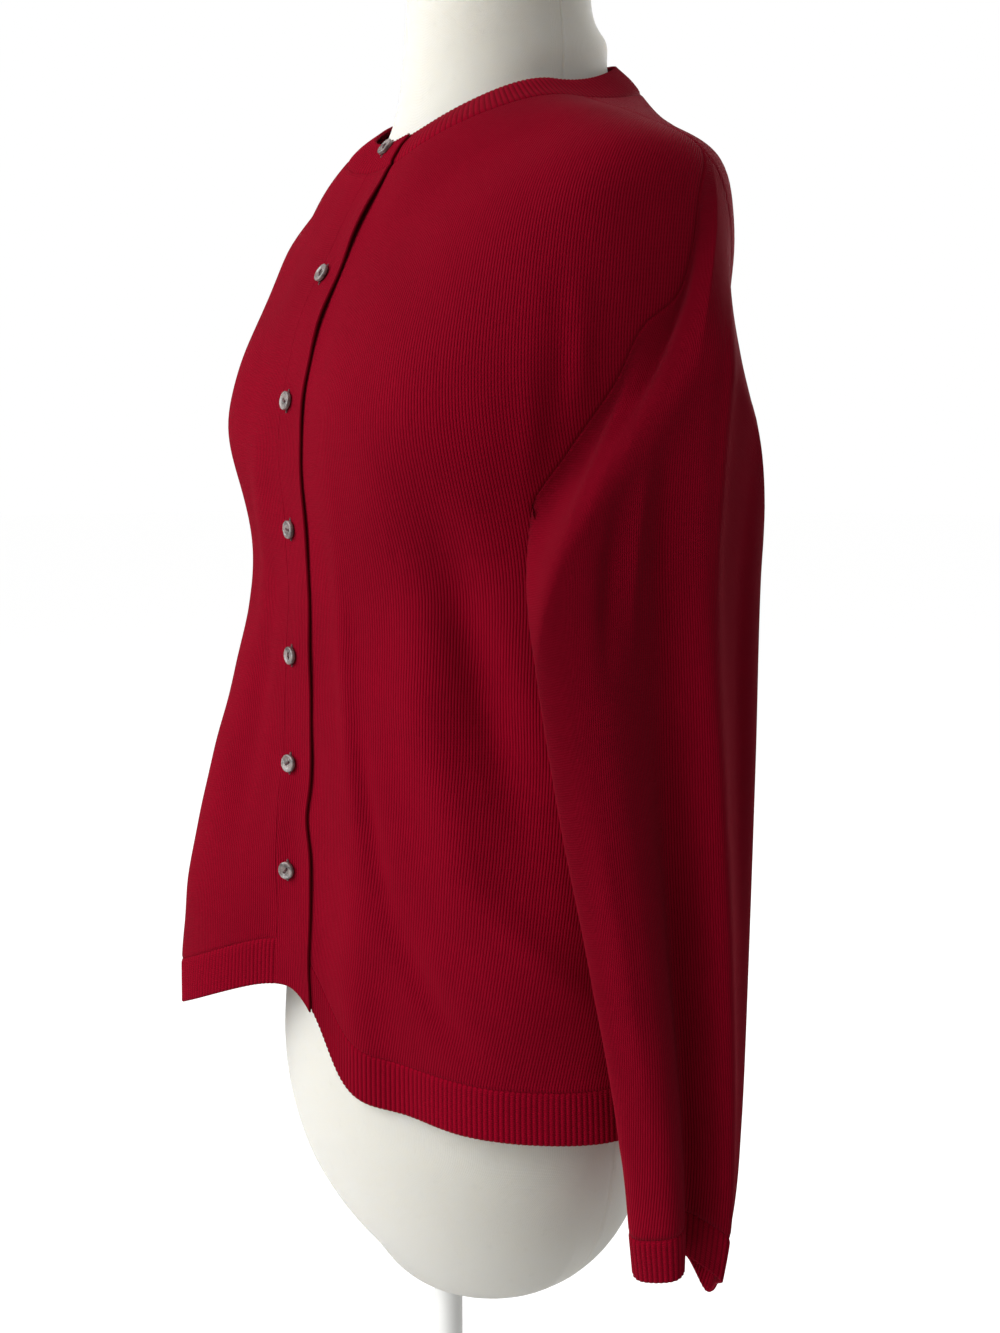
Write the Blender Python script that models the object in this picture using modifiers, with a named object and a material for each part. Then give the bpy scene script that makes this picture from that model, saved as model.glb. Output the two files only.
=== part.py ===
"""A button cardigan on a limbless dress form and its stand.

Metres, +Z up. The origin is the middle of the stand's underside, on the floor. The wearer would face -Y,
so the wearer's left is +X. Every cloth piece is a closed wall of the knit's own thickness, lofted through
rings whose sizes stand in the tables below. Heights in the tables are measured from the neck point, the
highest point of the shoulder seam beside the neck, so they are negative on nearly the whole garment.
"""

import math
from collections import namedtuple

import bmesh
import bpy
import numpy as np

# Driving sizes
NECK_POINT_Z = 1.180
KNIT_WALL = 0.0016
RIB_WALL = 0.0018
SEAM_GAP = 0.0004
LAP_LIFT = 0.0013
LAP_REACH = (0.018, 0.050)
OVER_EDGE_X = 0.018
UNDER_EDGE_X = -0.014
BAND_WIDTH = 0.024
SLEEVE_CLEARANCE = 0.0030
CUFF_HEIGHT = 0.026
SHOULDER_SEAM_ANGLE = math.radians(5)
MIDDLE_CROWDING = 13.0

BUTTON_RADIUS = 0.00575
BUTTON_THICKNESS = 0.0024
BUTTON_RIM = 0.0008
BUTTON_DISH = 0.0005
BUTTON_HOLE_RADIUS = 0.0009
BUTTON_HOLE_SPACING = 0.0030
BUTTON_X = 0.001
BUTTON_STAND_OFF = 0.0006

POLE_RADIUS = 0.0095
BASE_RADIUS = 0.160
BASE_EDGE = 0.006
BASE_RISE = 0.014
SOCKET_RADIUS = 0.017
SOCKET_TOP_Z = 0.050
PART_GAP = 0.0003

# How finely the walls are divided
AROUND_SLEEVE = 26
FRONT_COLUMNS = 10
BACK_COLUMNS = 16
BAND_COLUMNS = 2
FORM_COLUMNS = 28
SLEEVE_STEPS = 15

# A ring of the body: where it lies at the side, at the centre front and at the centre back, how square its
# front is, and how sharply its height rises towards the centre front on either side.
Ring = namedtuple(
    "Ring",
    "name side_x side_y side_z front_y front_z back_y back_z front_round left_rise right_rise",
)

BODY_RINGS = [
    Ring("neck edge", 0.063, 0.038, -0.009, -0.031, -0.040, 0.112, 0.016, 2.4, 2, 2),
    Ring("neck seam", 0.079, 0.039, -0.020, -0.043, -0.057, 0.126, 0.000, 3.0, 2, 2),
    Ring("yoke", 0.121, 0.042, -0.036, -0.070, -0.105, 0.134, -0.036, 2.15, 2, 2),
    Ring("shoulder tip", 0.162, 0.048, -0.058, -0.086, -0.141, 0.135, -0.078, 2.0, 2, 2),
    Ring("upper armhole", 0.172, 0.050, -0.094, -0.092, -0.170, 0.136, -0.124, 2.2, 2, 2),
    Ring("middle armhole", 0.171, 0.043, -0.160, -0.096, -0.205, 0.134, -0.182, 2.3, 2, 2),
    Ring("underarm", 0.159, 0.030, -0.250, -0.098, -0.258, 0.128, -0.255, 2.2, 2, 2),
    Ring("rib cage", 0.156, 0.025, -0.320, -0.099, -0.320, 0.123, -0.320, 2.1, 3, 3),
    Ring("waist", 0.158, 0.022, -0.400, -0.100, -0.386, 0.121, -0.400, 2.0, 6, 4),
    Ring("hip", 0.167, 0.018, -0.480, -0.101, -0.450, 0.123, -0.480, 2.0, 12, 6),
    Ring("hem rib top", 0.174, 0.016, -0.556, -0.103, -0.503, 0.125, -0.556, 1.9, 20, 8),
    Ring("hem edge", 0.176, 0.016, -0.586, -0.103, -0.531, 0.125, -0.586, 1.9, 22, 8),
]
NECK_EDGE, NECK_SEAM, SHOULDER_TIP, HEM_RIB_TOP, HEM_EDGE = 0, 0.55, 3, 10, 11

# The armhole seam, read round the sleeve from the shoulder tip (0) to the underarm (180): the ring that it
# crosses, its angle on the front and on the back, and the drop in which the sleeve settles to its hang.
Armhole = namedtuple("Armhole", "around row front_angle back_angle front_settle back_settle")

ARMHOLE = [
    Armhole(0, 3.00, 5.0, 5.0, 0.120, 0.120),
    Armhole(15, 3.70, 1.0, 9.0, 0.130, 0.090),
    Armhole(30, 4.30, -0.8, 13.0, 0.120, 0.070),
    Armhole(41, 4.64, -3.0, 16.0, 0.110, 0.060),
    Armhole(50, 4.84, -9.0, 18.0, 0.110, 0.055),
    Armhole(62, 5.18, -12.5, 20.0, 0.100, 0.050),
    Armhole(76, 5.52, -18.5, 22.0, 0.090, 0.050),
    Armhole(92, 5.86, -23.5, 22.0, 0.080, 0.050),
    Armhole(130, 6.10, -15.0, 14.0, 0.060, 0.050),
    Armhole(180, 6.18, 0.0, 0.0, 0.050, 0.050),
]

# A level section of the hanging sleeve: its front and back folds in plan, and the gap between its layers.
Section = namedtuple("Section", "drop front_x front_y back_x back_y thickness")

SLEEVE_SECTIONS = [
    Section(0.080, 0.172, 0.010, 0.171, 0.094, 0.034),
    Section(0.160, 0.171, -0.023, 0.175, 0.102, 0.034),
    Section(0.220, 0.168, -0.042, 0.177, 0.099, 0.034),
    Section(0.280, 0.168, -0.048, 0.177, 0.096, 0.032),
    Section(0.380, 0.173, -0.036, 0.180, 0.094, 0.030),
    Section(0.490, 0.184, -0.018, 0.187, 0.087, 0.030),
    Section(0.580, 0.193, -0.005, 0.194, 0.079, 0.030),
    Section(0.640, 0.194, 0.003, 0.195, 0.073, 0.030),
    Section(0.700, 0.192, 0.012, 0.191, 0.058, 0.030),
]
CUFF_END_DROP = (0.659, 0.655, 0.688)

# A fold: its place across the cloth and its width at its top and its low end, in degrees round the body or,
# on a sleeve, from -1 at the front fold to 1 at the back fold; its height above the cloth round it, at its
# top, middle and low end, below zero for a trough. It runs on below its low end as it is there.
Fold = namedtuple(
    "Fold",
    "name across_top across_low drop_top drop_low width_top width_low top middle low",
)

BODY_FOLDS = [
    Fold("right bust", -122, -122, 0.100, 0.300, 24, 24, 0.0, 0.018, 0.0),
    Fold("left bust", -56, -56, 0.100, 0.300, 26, 26, 0.0, 0.014, 0.0),
    Fold("right front flare", -124, -121, 0.230, 0.585, 21, 23, 0.0, 0.037, 0.060),
    Fold("left front ridge", -66, -60, 0.300, 0.585, 7, 8, 0.0, 0.003, 0.004),
    Fold("left front trough", -45, -16, 0.200, 0.480, 9, 13, 0.0, -0.007, -0.001),
    Fold("left hem hollow", -48, -48, 0.420, 0.585, 13, 13, 0.0, -0.003, -0.007),
]

SLEEVE_FOLDS = [
    Fold("front lobe", -0.62, -0.62, 0.180, 0.640, 0.34, 0.34, 0.0, 0.009, 0.009),
    Fold("valley", -0.05, 0.02, 0.240, 0.640, 0.20, 0.24, 0.0, -0.012, -0.014),
    Fold("back ridge", 0.20, 0.42, 0.080, 0.640, 0.20, 0.22, 0.0, 0.011, 0.009),
]
INNER_LAYER_SHARE = 0.15

FORM_RINGS = [
    Ring("neck top", 0.052, 0.040, 0.090, -0.012, 0.090, 0.093, 0.090, 2.0, 2, 2),
    Ring("neck", 0.053, 0.040, 0.040, -0.014, 0.040, 0.095, 0.040, 2.0, 2, 2),
    Ring("neck base", 0.057, 0.040, 0.010, -0.018, -0.010, 0.106, 0.027, 2.0, 2, 2),
    Ring("under neck edge", 0.059, 0.038, -0.012, -0.027, -0.043, 0.108, 0.010, 2.2, 2, 2),
    Ring("under neck seam", 0.075, 0.039, -0.025, -0.039, -0.061, 0.121, -0.005, 2.7, 2, 2),
    Ring("yoke", 0.116, 0.042, -0.041, -0.066, -0.108, 0.129, -0.041, 2.1, 2, 2),
    Ring("shoulder tip", 0.156, 0.048, -0.063, -0.082, -0.144, 0.130, -0.082, 2.0, 2, 2),
    Ring("shoulder end", 0.163, 0.048, -0.099, -0.088, -0.172, 0.130, -0.127, 2.1, 2, 2),
    Ring("arm stump", 0.156, 0.040, -0.162, -0.092, -0.205, 0.128, -0.184, 2.2, 2, 2),
    Ring("bust", 0.142, 0.028, -0.235, -0.091, -0.245, 0.118, -0.240, 2.2, 2, 2),
    Ring("under bust", 0.126, 0.022, -0.310, -0.076, -0.310, 0.098, -0.310, 2.1, 2, 2),
    Ring("waist", 0.118, 0.018, -0.390, -0.072, -0.385, 0.086, -0.390, 2.0, 2, 2),
    Ring("upper hip", 0.132, 0.015, -0.470, -0.082, -0.460, 0.100, -0.470, 2.0, 2, 2),
    Ring("hip", 0.143, 0.012, -0.560, -0.094, -0.555, 0.110, -0.560, 2.0, 2, 2),
    Ring("seat", 0.145, 0.010, -0.612, -0.096, -0.612, 0.114, -0.612, 2.0, 2, 2),
    Ring("lower seat", 0.136, 0.012, -0.658, -0.088, -0.658, 0.116, -0.658, 2.0, 2, 2),
    Ring("underside", 0.121, 0.014, -0.694, -0.072, -0.694, 0.114, -0.694, 2.0, 2, 2),
    Ring("lower underside", 0.096, 0.014, -0.726, -0.050, -0.726, 0.098, -0.726, 2.0, 2, 2),
    Ring("bottom edge", 0.060, 0.008, -0.746, -0.036, -0.746, 0.066, -0.746, 2.0, 2, 2),
    Ring("bottom", 0.018, 0.000, -0.752, -0.018, -0.752, 0.018, -0.752, 2.0, 2, 2),
]
BACK_ROUND = 2.1
NECK_CAP_HEIGHT = 0.010

# Heights of the button centres below the neck point, on the centre front.
BUTTON_DROPS = (0.044, 0.115, 0.185, 0.257, 0.330, 0.394, 0.459)

COLOURS = {
    "cardigan knit": ((0.26, 0.003, 0.016, 1.0), 0.85, 0.0),
    "cardigan rib": ((0.23, 0.003, 0.014, 1.0), 0.85, 0.0),
    "shell button": ((0.20, 0.17, 0.16, 1.0), 0.25, 0.0),
    "form jersey": ((0.72, 0.68, 0.60, 1.0), 0.9, 0.0),
    "stand enamel": ((0.80, 0.80, 0.78, 1.0), 0.35, 0.0),
}


# Curves and rings


def columns(table):
    """A table as one array for each named column."""
    names = table[0]._fields
    return {name: np.array([getattr(row, name) for row in table]) for name in names if name != "name"}


def smooth_through(values, at):
    """The Catmull-Rom curve through evenly numbered values, read at fractional numbers."""
    values = np.asarray(values, float)
    first = 2 * values[0] - values[1]
    last = 2 * values[-1] - values[-2]
    padded = np.concatenate(([first], values, [last]))
    at = np.clip(np.asarray(at, float), 0, len(values) - 1)
    step = np.minimum(at.astype(int), len(values) - 2)
    t = at - step
    before, start, end, after = (padded[step + k] for k in range(4))
    line = 2 * start + (end - before) * t
    bend = (2 * before - 5 * start + 4 * end - after) * t**2
    twist = (3 * start - before - 3 * end + after) * t**3
    return 0.5 * (line + bend + twist)


def smooth_lookup(table, key, wanted, at):
    """A column of a table, read smoothly at a value of its key column."""
    number = np.interp(at, table[key], np.arange(len(table[key])))
    return smooth_through(table[wanted], number)


def ease(value, low, high):
    """0 below low, 1 above high, and a smooth step between."""
    t = np.clip((value - low) / (high - low), 0, 1)
    return t * t * (3 - 2 * t)


def relief(folds, across, drop):
    """How far the folds lift the cloth at a place across it and a drop below the neck point."""
    total = np.zeros(np.broadcast(across, drop).shape)
    for fold in folds:
        t = np.clip((drop - fold.drop_top) / (fold.drop_low - fold.drop_top), 0, 1)
        centre = fold.across_top + (fold.across_low - fold.across_top) * t
        width = fold.width_top + (fold.width_low - fold.width_top) * t
        height = fold.top * (1 - t) * (1 - 2 * t) + fold.middle * 4 * t * (1 - t) + fold.low * t * (2 * t - 1)
        away = ((across - centre + 180) % 360 - 180) / width
        total += height * np.exp(-(away**2))
    return total


BODY = columns(BODY_RINGS)
FORM = columns(FORM_RINGS)
SLEEVE = columns(SLEEVE_SECTIONS)
SEAM = columns(ARMHOLE)


def ring_point(rings, angle, row, folds=(), lift=0.0):
    """A point of a body of rings: angle 0 is the left side, -90 degrees the front, rows count down."""
    ring = {name: smooth_through(values, row) for name, values in rings.items()}
    across = np.cos(angle)
    ahead = -np.sin(angle)
    in_front = ahead > 0
    depth = np.where(in_front, ring["side_y"] - ring["front_y"], ring["back_y"] - ring["side_y"])
    power = np.where(in_front, ring["front_round"], BACK_ROUND)
    reach = (np.abs(across) / ring["side_x"]) ** power + (np.abs(ahead) / depth) ** power
    radius = reach ** (-1 / power)
    rise = np.where(across > 0, ring["left_rise"], ring["right_rise"])
    rise = np.where(in_front, rise, 2)
    end_z = np.where(in_front, ring["front_z"], ring["back_z"])
    height = ring["side_z"] + (end_z - ring["side_z"]) * np.abs(ahead) ** rise
    radius = radius + relief(folds, np.degrees(angle), -height) + lift
    x = radius * across
    y = ring["side_y"] - radius * ahead
    return np.stack(np.broadcast_arrays(x, y, height + NECK_POINT_Z), axis=-1)


def front_distance(angle, row):
    """How far round the cloth a front point is from the centre front, positive to the wearer's left."""
    depth = smooth_through(BODY["side_y"] - BODY["front_y"], row)
    return (angle + math.pi / 2) * depth


def front_angle(distance, row):
    """The angle of a front point at a distance round the cloth from the centre front."""
    depth = smooth_through(BODY["side_y"] - BODY["front_y"], row)
    return -math.pi / 2 + distance / depth


def body_point(angle, row, lap=0):
    """The outer face of the cardigan's body. lap is 1 on the overlapping front and -1 on the one under it."""
    distance = np.abs(front_distance(angle, row))
    lift = lap * LAP_LIFT * (1 - ease(distance, *LAP_REACH))
    return ring_point(BODY, angle, row, BODY_FOLDS, lift)


def body_normal(angle, row, lap=0):
    """The outward unit normal of the cardigan's body."""
    turn = 0.01
    step = 0.02
    along = body_point(angle + turn, row, lap) - body_point(angle - turn, row, lap)
    down = body_point(angle, row + step, lap) - body_point(angle, row - step, lap)
    return unit(np.cross(down, along))


def unit(vectors):
    """The vectors at length 1."""
    return vectors / np.maximum(np.linalg.norm(vectors, axis=-1, keepdims=True), 1e-12)


# The armhole and the sleeve


def armhole_angle(row, side):
    """The angle of the armhole seam where it crosses a ring, on the front (-1) or the back (1)."""
    around = np.linspace(0, 180, 361)
    rows = smooth_lookup(SEAM, "around", "row", around)
    name = "front_angle" if side < 0 else "back_angle"
    angles = smooth_lookup(SEAM, "around", name, around)
    return np.radians(np.interp(row, rows, angles))


def stations(count):
    """Degrees round a sleeve, closer together in the middles of its layers than at their folds."""
    around = np.arange(count) * 360 / count
    return around - MIDDLE_CROWDING * np.sin(np.radians(2 * around))


def sleeve_seam(around, hand):
    """Ring number and angle of the armhole seam at degrees round the left (1) or right (-1) sleeve."""
    half = np.where(around <= 180, around, 360 - around)
    row = smooth_lookup(SEAM, "around", "row", half)
    front = smooth_lookup(SEAM, "around", "front_angle", half)
    back = smooth_lookup(SEAM, "around", "back_angle", half)
    angle = np.radians(np.where(around <= 180, front, back))
    return row, angle if hand > 0 else math.pi - angle


def sleeve_hang(around, drop):
    """The hanging sleeve in plan, as the left one: round the layers by degrees, at a drop."""
    turn = np.radians(around)
    across = -np.sin(turn)
    share = (across + 1) / 2
    section = {name: smooth_lookup(SLEEVE, "drop", name, drop) for name in SLEEVE}
    spine_x = section["front_x"] + (section["back_x"] - section["front_x"]) * share
    spine_y = section["front_y"] + (section["back_y"] - section["front_y"]) * share
    outward = np.cos(turn)
    layer = INNER_LAYER_SHARE + (1 - INNER_LAYER_SHARE) * ease(outward, -0.6, 0.6)
    x = spine_x + relief(SLEEVE_FOLDS, across, drop) * layer + outward * section["thickness"] / 2
    return x, spine_y


def cuff_end_drop(around):
    """How low the cuff's end hangs, round the sleeve."""
    across = -np.sin(np.radians(around))
    front, middle, back = CUFF_END_DROP
    bend = (front + back) / 2 - middle
    return middle + across * (back - front) / 2 + bend * across**2


def body_below(angle, first_row, height):
    """The body's outer face straight on below a ring, at an angle and at heights further down."""
    rows = np.linspace(0, 1, 61)[:, None] * (HEM_EDGE - first_row) + first_row
    face = body_point(np.broadcast_to(angle, rows.shape), rows)
    x = [np.interp(-level, -column[:, 2], column[:, 0]) for level, column in zip(height, face.swapaxes(0, 1))]
    y = [np.interp(-level, -column[:, 2], column[:, 1]) for level, column in zip(height, face.swapaxes(0, 1))]
    return np.array(x), np.array(y)


def clear_of_body(points, clearance):
    """The points, moved out from the body's middle where they lie nearer to its face than the clearance."""
    rows = np.linspace(SHOULDER_TIP, HEM_EDGE, 81)
    side_y = smooth_through(BODY["side_y"], rows)
    flat = points.reshape(-1, 3)
    angle = np.arctan2(flat[:, 1, None] - side_y, flat[:, 0, None])
    face = body_point(angle, np.broadcast_to(rows, angle.shape))
    face_radius = np.hypot(face[..., 0], face[..., 1] - side_y)
    reach = np.broadcast_to(clearance, points.shape[:-1]).reshape(-1)
    moved = flat.copy()
    for index, point in enumerate(flat):
        heights = -face[index, :, 2]
        radius = np.interp(-point[2], heights, face_radius[index]) + reach[index]
        middle = np.array((0, np.interp(-point[2], heights, side_y)))
        distance = np.hypot(*(point[:2] - middle))
        if distance < radius and point[2] > face[index, -1, 2] - CUFF_HEIGHT:
            moved[index, :2] = middle + (point[:2] - middle) * radius / distance
    return moved.reshape(points.shape)


def sleeve_grid(hand, around_count, steps, cuff_steps):
    """The outer face of a sleeve and its cuff: rows from the armhole down, columns round, and normals.

    The cloth leaves the armhole along the body's own face and settles to the hanging sections below."""
    around = stations(around_count)
    row, angle = sleeve_seam(around, hand)
    seam = body_point(angle, row)
    seam_normal = body_normal(angle, row)
    mirror = np.array((hand, 1, 1))
    front_settle = smooth_lookup(SEAM, "around", "front_settle", around)
    back_settle = smooth_lookup(SEAM, "around", "back_settle", 360 - around)
    settle = np.where(around <= 180, front_settle, back_settle)
    end = NECK_POINT_Z - cuff_end_drop(around)
    rib_top = end + CUFF_HEIGHT
    grid = []
    for step in range(steps + cuff_steps + 1):
        if step <= steps:
            height = seam[:, 2] + (rib_top - seam[:, 2]) * (step / steps) ** 1.15
        else:
            height = rib_top + (end - rib_top) * (step - steps) / cuff_steps
        hang_x, hang_y = sleeve_hang(around, NECK_POINT_Z - height)
        body_x, body_y = body_below(angle, row, height)
        settled = ease(seam[:, 2] - height, 0, settle)
        x = body_x + (hang_x * hand - body_x) * settled
        y = body_y + (hang_y - body_y) * settled
        grid.append(np.stack((x, y, height), axis=-1))
    grid = np.array(grid)
    fallen = (seam[:, 2] - grid[..., 2]) / settle
    clearance = SEAM_GAP + (SLEEVE_CLEARANCE - SEAM_GAP) * ease(fallen, 0, 0.4)
    grid = clear_of_body(grid, clearance)
    away = unit(grid[1] - grid[0])
    grid[0] = seam + SEAM_GAP * (away + seam_normal)
    around_way = np.roll(grid, -1, axis=1) - np.roll(grid, 1, axis=1)
    normals = unit(np.cross(around_way, np.gradient(grid, axis=0))) * hand
    agree = ease(np.sum(normals[0] * seam_normal, axis=-1), -0.1, 0.5)[:, None]
    normals[0] = unit(normals[0] * (1 - agree) + seam_normal * agree)
    return grid, normals


# Meshes


def add_object(name, mesh, material, collection):
    """A mesh as a named object with its material, in the object's collection."""
    mesh.name = name
    mesh.materials.clear()
    mesh.materials.append(material)
    item = bpy.data.objects.new(name, mesh)
    collection.objects.link(item)
    return item


def wall_mesh(outer, normals, thickness, wraps=False):
    """A closed wall from a grid of its outer face: rows by columns, which meet round a tube if it wraps."""
    rows, count = outer.shape[:2]
    inner = outer - normals * thickness
    mesh = bpy.data.meshes.new("wall")
    model = bmesh.new()
    faces = [[[model.verts.new(point) for point in row] for row in face] for face in (outer, inner)]
    last = count if wraps else count - 1
    for i in range(rows - 1):
        for j in range(last):
            k = (j + 1) % count
            for layer in faces:
                model.faces.new((layer[i][j], layer[i][k], layer[i + 1][k], layer[i + 1][j]))
    front, back = faces
    for i in (0, rows - 1):
        for j in range(last):
            k = (j + 1) % count
            model.faces.new((front[i][j], front[i][k], back[i][k], back[i][j]))
    if not wraps:
        for j in (0, count - 1):
            for i in range(rows - 1):
                model.faces.new((front[i][j], front[i + 1][j], back[i + 1][j], back[i][j]))
    bmesh.ops.recalc_face_normals(model, faces=model.faces)
    model.to_mesh(mesh)
    model.free()
    mesh.shade_smooth()
    mesh.set_sharp_from_angle(angle=math.radians(50))
    return mesh


def drawn_in(grid, gap, top=True, bottom=True, left=True, right=True):
    """The grid with its chosen edges moved half a gap towards the middle of the panel."""
    grid = grid.copy()
    if top:
        grid[0] += unit(grid[1] - grid[0]) * gap / 2
    if bottom:
        grid[-1] += unit(grid[-2] - grid[-1]) * gap / 2
    if left:
        grid[:, 0] += unit(grid[:, 1] - grid[:, 0]) * gap / 2
    if right:
        grid[:, -1] += unit(grid[:, -2] - grid[:, -1]) * gap / 2
    return grid


def body_panel(rows, first_angle, last_angle, count, lap=0):
    """The outer face and normals of a body piece between two edges, given as an angle for each row."""
    share = np.linspace(0, 1, count + 1)
    angle = first_angle[:, None] + (last_angle - first_angle)[:, None] * share
    row = np.broadcast_to(rows[:, None], angle.shape)
    return body_point(angle, row, lap), body_normal(angle, row, lap)


def panel_rows():
    """Ring numbers of a front's or the back's rows, from the neck seam to the top of the hem rib."""
    around = stations(AROUND_SLEEVE)[: AROUND_SLEEVE // 2 + 1]
    armhole_rows = smooth_lookup(SEAM, "around", "row", around)
    yoke = np.linspace(NECK_SEAM, SHOULDER_TIP, 6)[:-1]
    below = np.linspace(armhole_rows[-1], HEM_RIB_TOP, 10)[1:]
    return np.concatenate((yoke, armhole_rows, below))


def side_angle(rows, side):
    """The outer edge of a front (-1) or of the back's left half (1): shoulder, armhole, side seam."""
    armhole = armhole_angle(rows, side)
    return np.where(rows < SHOULDER_TIP, SHOULDER_SEAM_ANGLE, np.where(rows < SEAM["row"][-1], armhole, 0.0))


# Pieces


def make_bands(materials, collection):
    """The plain strip along each front edge, from the neck seam through the hem."""
    rows = np.concatenate((panel_rows(), (HEM_EDGE - 0.5, HEM_EDGE)))
    for name, edge_x, lap in (("front_band_right", OVER_EDGE_X, 1), ("front_band_left", UNDER_EDGE_X, -1)):
        edge = front_angle(edge_x, rows)
        seam = front_angle(edge_x - lap * BAND_WIDTH, rows)
        grid, normals = body_panel(rows, edge, seam, BAND_COLUMNS, lap)
        grid = drawn_in(grid, SEAM_GAP, bottom=False, left=False)
        add_object(name, wall_mesh(grid, normals, KNIT_WALL), materials["cardigan knit"], collection)


def make_fronts(materials, collection):
    """The right front, which laps over, and the left front, each with its hem rib."""
    rows = panel_rows()
    hem_rows = np.array((HEM_RIB_TOP, HEM_EDGE - 0.5, HEM_EDGE))
    for hand, edge_x, lap in (("right", OVER_EDGE_X, 1), ("left", UNDER_EDGE_X, -1)):
        knit = (f"front_{hand}", rows, KNIT_WALL, "cardigan knit", True)
        rib = (f"hem_rib_front_{hand}", hem_rows, RIB_WALL, "cardigan rib", False)
        for name, lines, wall, finish, has_seam_below in (knit, rib):
            start = front_angle(edge_x - lap * BAND_WIDTH, lines)
            side = side_angle(lines, -1)
            outer_edge = side if lap < 0 else -math.pi - side
            grid, normals = body_panel(lines, start, outer_edge, FRONT_COLUMNS, lap)
            grid = drawn_in(grid, SEAM_GAP, bottom=has_seam_below)
            add_object(name, wall_mesh(grid, normals, wall), materials[finish], collection)


def make_back(materials, collection):
    """The back and its hem rib."""
    hem_rows = np.array((HEM_RIB_TOP, HEM_EDGE - 0.5, HEM_EDGE))
    knit = ("back", panel_rows(), KNIT_WALL, "cardigan knit", True)
    rib = ("hem_rib_back", hem_rows, RIB_WALL, "cardigan rib", False)
    for name, lines, wall, finish, has_seam_below in (knit, rib):
        side = side_angle(lines, 1)
        grid, normals = body_panel(lines, side, math.pi - side, BACK_COLUMNS)
        grid = drawn_in(grid, SEAM_GAP, bottom=has_seam_below)
        add_object(name, wall_mesh(grid, normals, wall), materials[finish], collection)


def make_neckband(materials, collection):
    """The ribbed neckband, from the over end at the front round the back to the end under it."""
    rows = np.array((NECK_EDGE, NECK_SEAM / 2, NECK_SEAM))
    over_end = front_angle(OVER_EDGE_X, rows)
    under_end = front_angle(UNDER_EDGE_X, rows) - 2 * math.pi
    share = np.linspace(0, 1, 33)
    angle = over_end[:, None] + (under_end - over_end)[:, None] * share
    row = np.broadcast_to(rows[:, None], angle.shape)
    over = body_point(angle, row, 1)
    under = body_point(angle + 2 * math.pi, row, -1)
    on_over = (angle > -math.pi)[..., None]
    grid = np.where(on_over, over, under)
    normals = body_normal(angle, row)
    grid = drawn_in(grid, SEAM_GAP, top=False, left=False, right=False)
    add_object("neckband", wall_mesh(grid, normals, KNIT_WALL), materials["cardigan rib"], collection)


def make_sleeves(materials, collection):
    """Both sleeves and their ribbed cuffs, hanging empty from the armholes."""
    cuff_steps = 2
    for side, hand in (("left", 1), ("right", -1)):
        grid, normals = sleeve_grid(hand, AROUND_SLEEVE, SLEEVE_STEPS, cuff_steps)
        sleeve = drawn_in(grid[: SLEEVE_STEPS + 1], SEAM_GAP, top=False, left=False, right=False)
        cuff = drawn_in(grid[SLEEVE_STEPS:], SEAM_GAP, bottom=False, left=False, right=False)
        sleeve_wall = wall_mesh(sleeve, normals[: SLEEVE_STEPS + 1], KNIT_WALL, wraps=True)
        cuff_wall = wall_mesh(cuff, normals[SLEEVE_STEPS:], RIB_WALL, wraps=True)
        add_object(f"sleeve_{side}", sleeve_wall, materials["cardigan knit"], collection)
        add_object(f"cuff_{side}", cuff_wall, materials["cardigan rib"], collection)


def turned(name, profile, segments, material, collection):
    """A solid turned about Z from a profile at +X that runs down its outer side, axis to axis."""
    mesh = bpy.data.meshes.new(name)
    edges = [(i, i + 1) for i in range(len(profile) - 1)]
    mesh.from_pydata([(radius, 0, height) for radius, height in profile], edges, [])
    item = add_object(name, mesh, material, collection)
    screw = item.modifiers.new("turn", "SCREW")
    screw.steps = segments
    screw.render_steps = segments
    screw.use_merge_vertices = True
    screw.merge_threshold = 0.00002
    screw.use_smooth_shade = True
    return item


def button_mesh(material, collection, cutters):
    """A dished two-hole button, lying flat with its underside at zero."""
    rim_z = BUTTON_THICKNESS
    dish_radius = BUTTON_RADIUS - BUTTON_RIM * 1.8
    profile = [
        (0, rim_z - BUTTON_DISH),
        (dish_radius, rim_z - BUTTON_DISH),
        (BUTTON_RADIUS - BUTTON_RIM, rim_z),
        (BUTTON_RADIUS, rim_z - BUTTON_RIM),
        (BUTTON_RADIUS - BUTTON_RIM, 0),
        (0, 0),
    ]
    blank = turned("button_blank", profile, 16, material, collection)
    for number, x in enumerate((-BUTTON_HOLE_SPACING / 2, BUTTON_HOLE_SPACING / 2)):
        model = bmesh.new()
        bmesh.ops.create_cone(
            model, cap_ends=True, segments=6, radius1=BUTTON_HOLE_RADIUS, radius2=BUTTON_HOLE_RADIUS, depth=0.01
        )
        mesh = bpy.data.meshes.new(f"hole_{number}")
        model.to_mesh(mesh)
        model.free()
        drill = bpy.data.objects.new(f"hole_{number}", mesh)
        drill.location = (x, 0, 0)
        drill.hide_render = True
        drill.display_type = "WIRE"
        cutters.objects.link(drill)
        cut = blank.modifiers.new(f"hole_{number}", "BOOLEAN")
        cut.operation = "DIFFERENCE"
        cut.object = drill
    bpy.context.view_layer.update()
    graph = bpy.context.evaluated_depsgraph_get()
    mesh = bpy.data.meshes.new_from_object(blank.evaluated_get(graph))
    bpy.data.objects.remove(blank)
    for drill in list(cutters.objects):
        bpy.data.objects.remove(drill)
    return mesh


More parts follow.
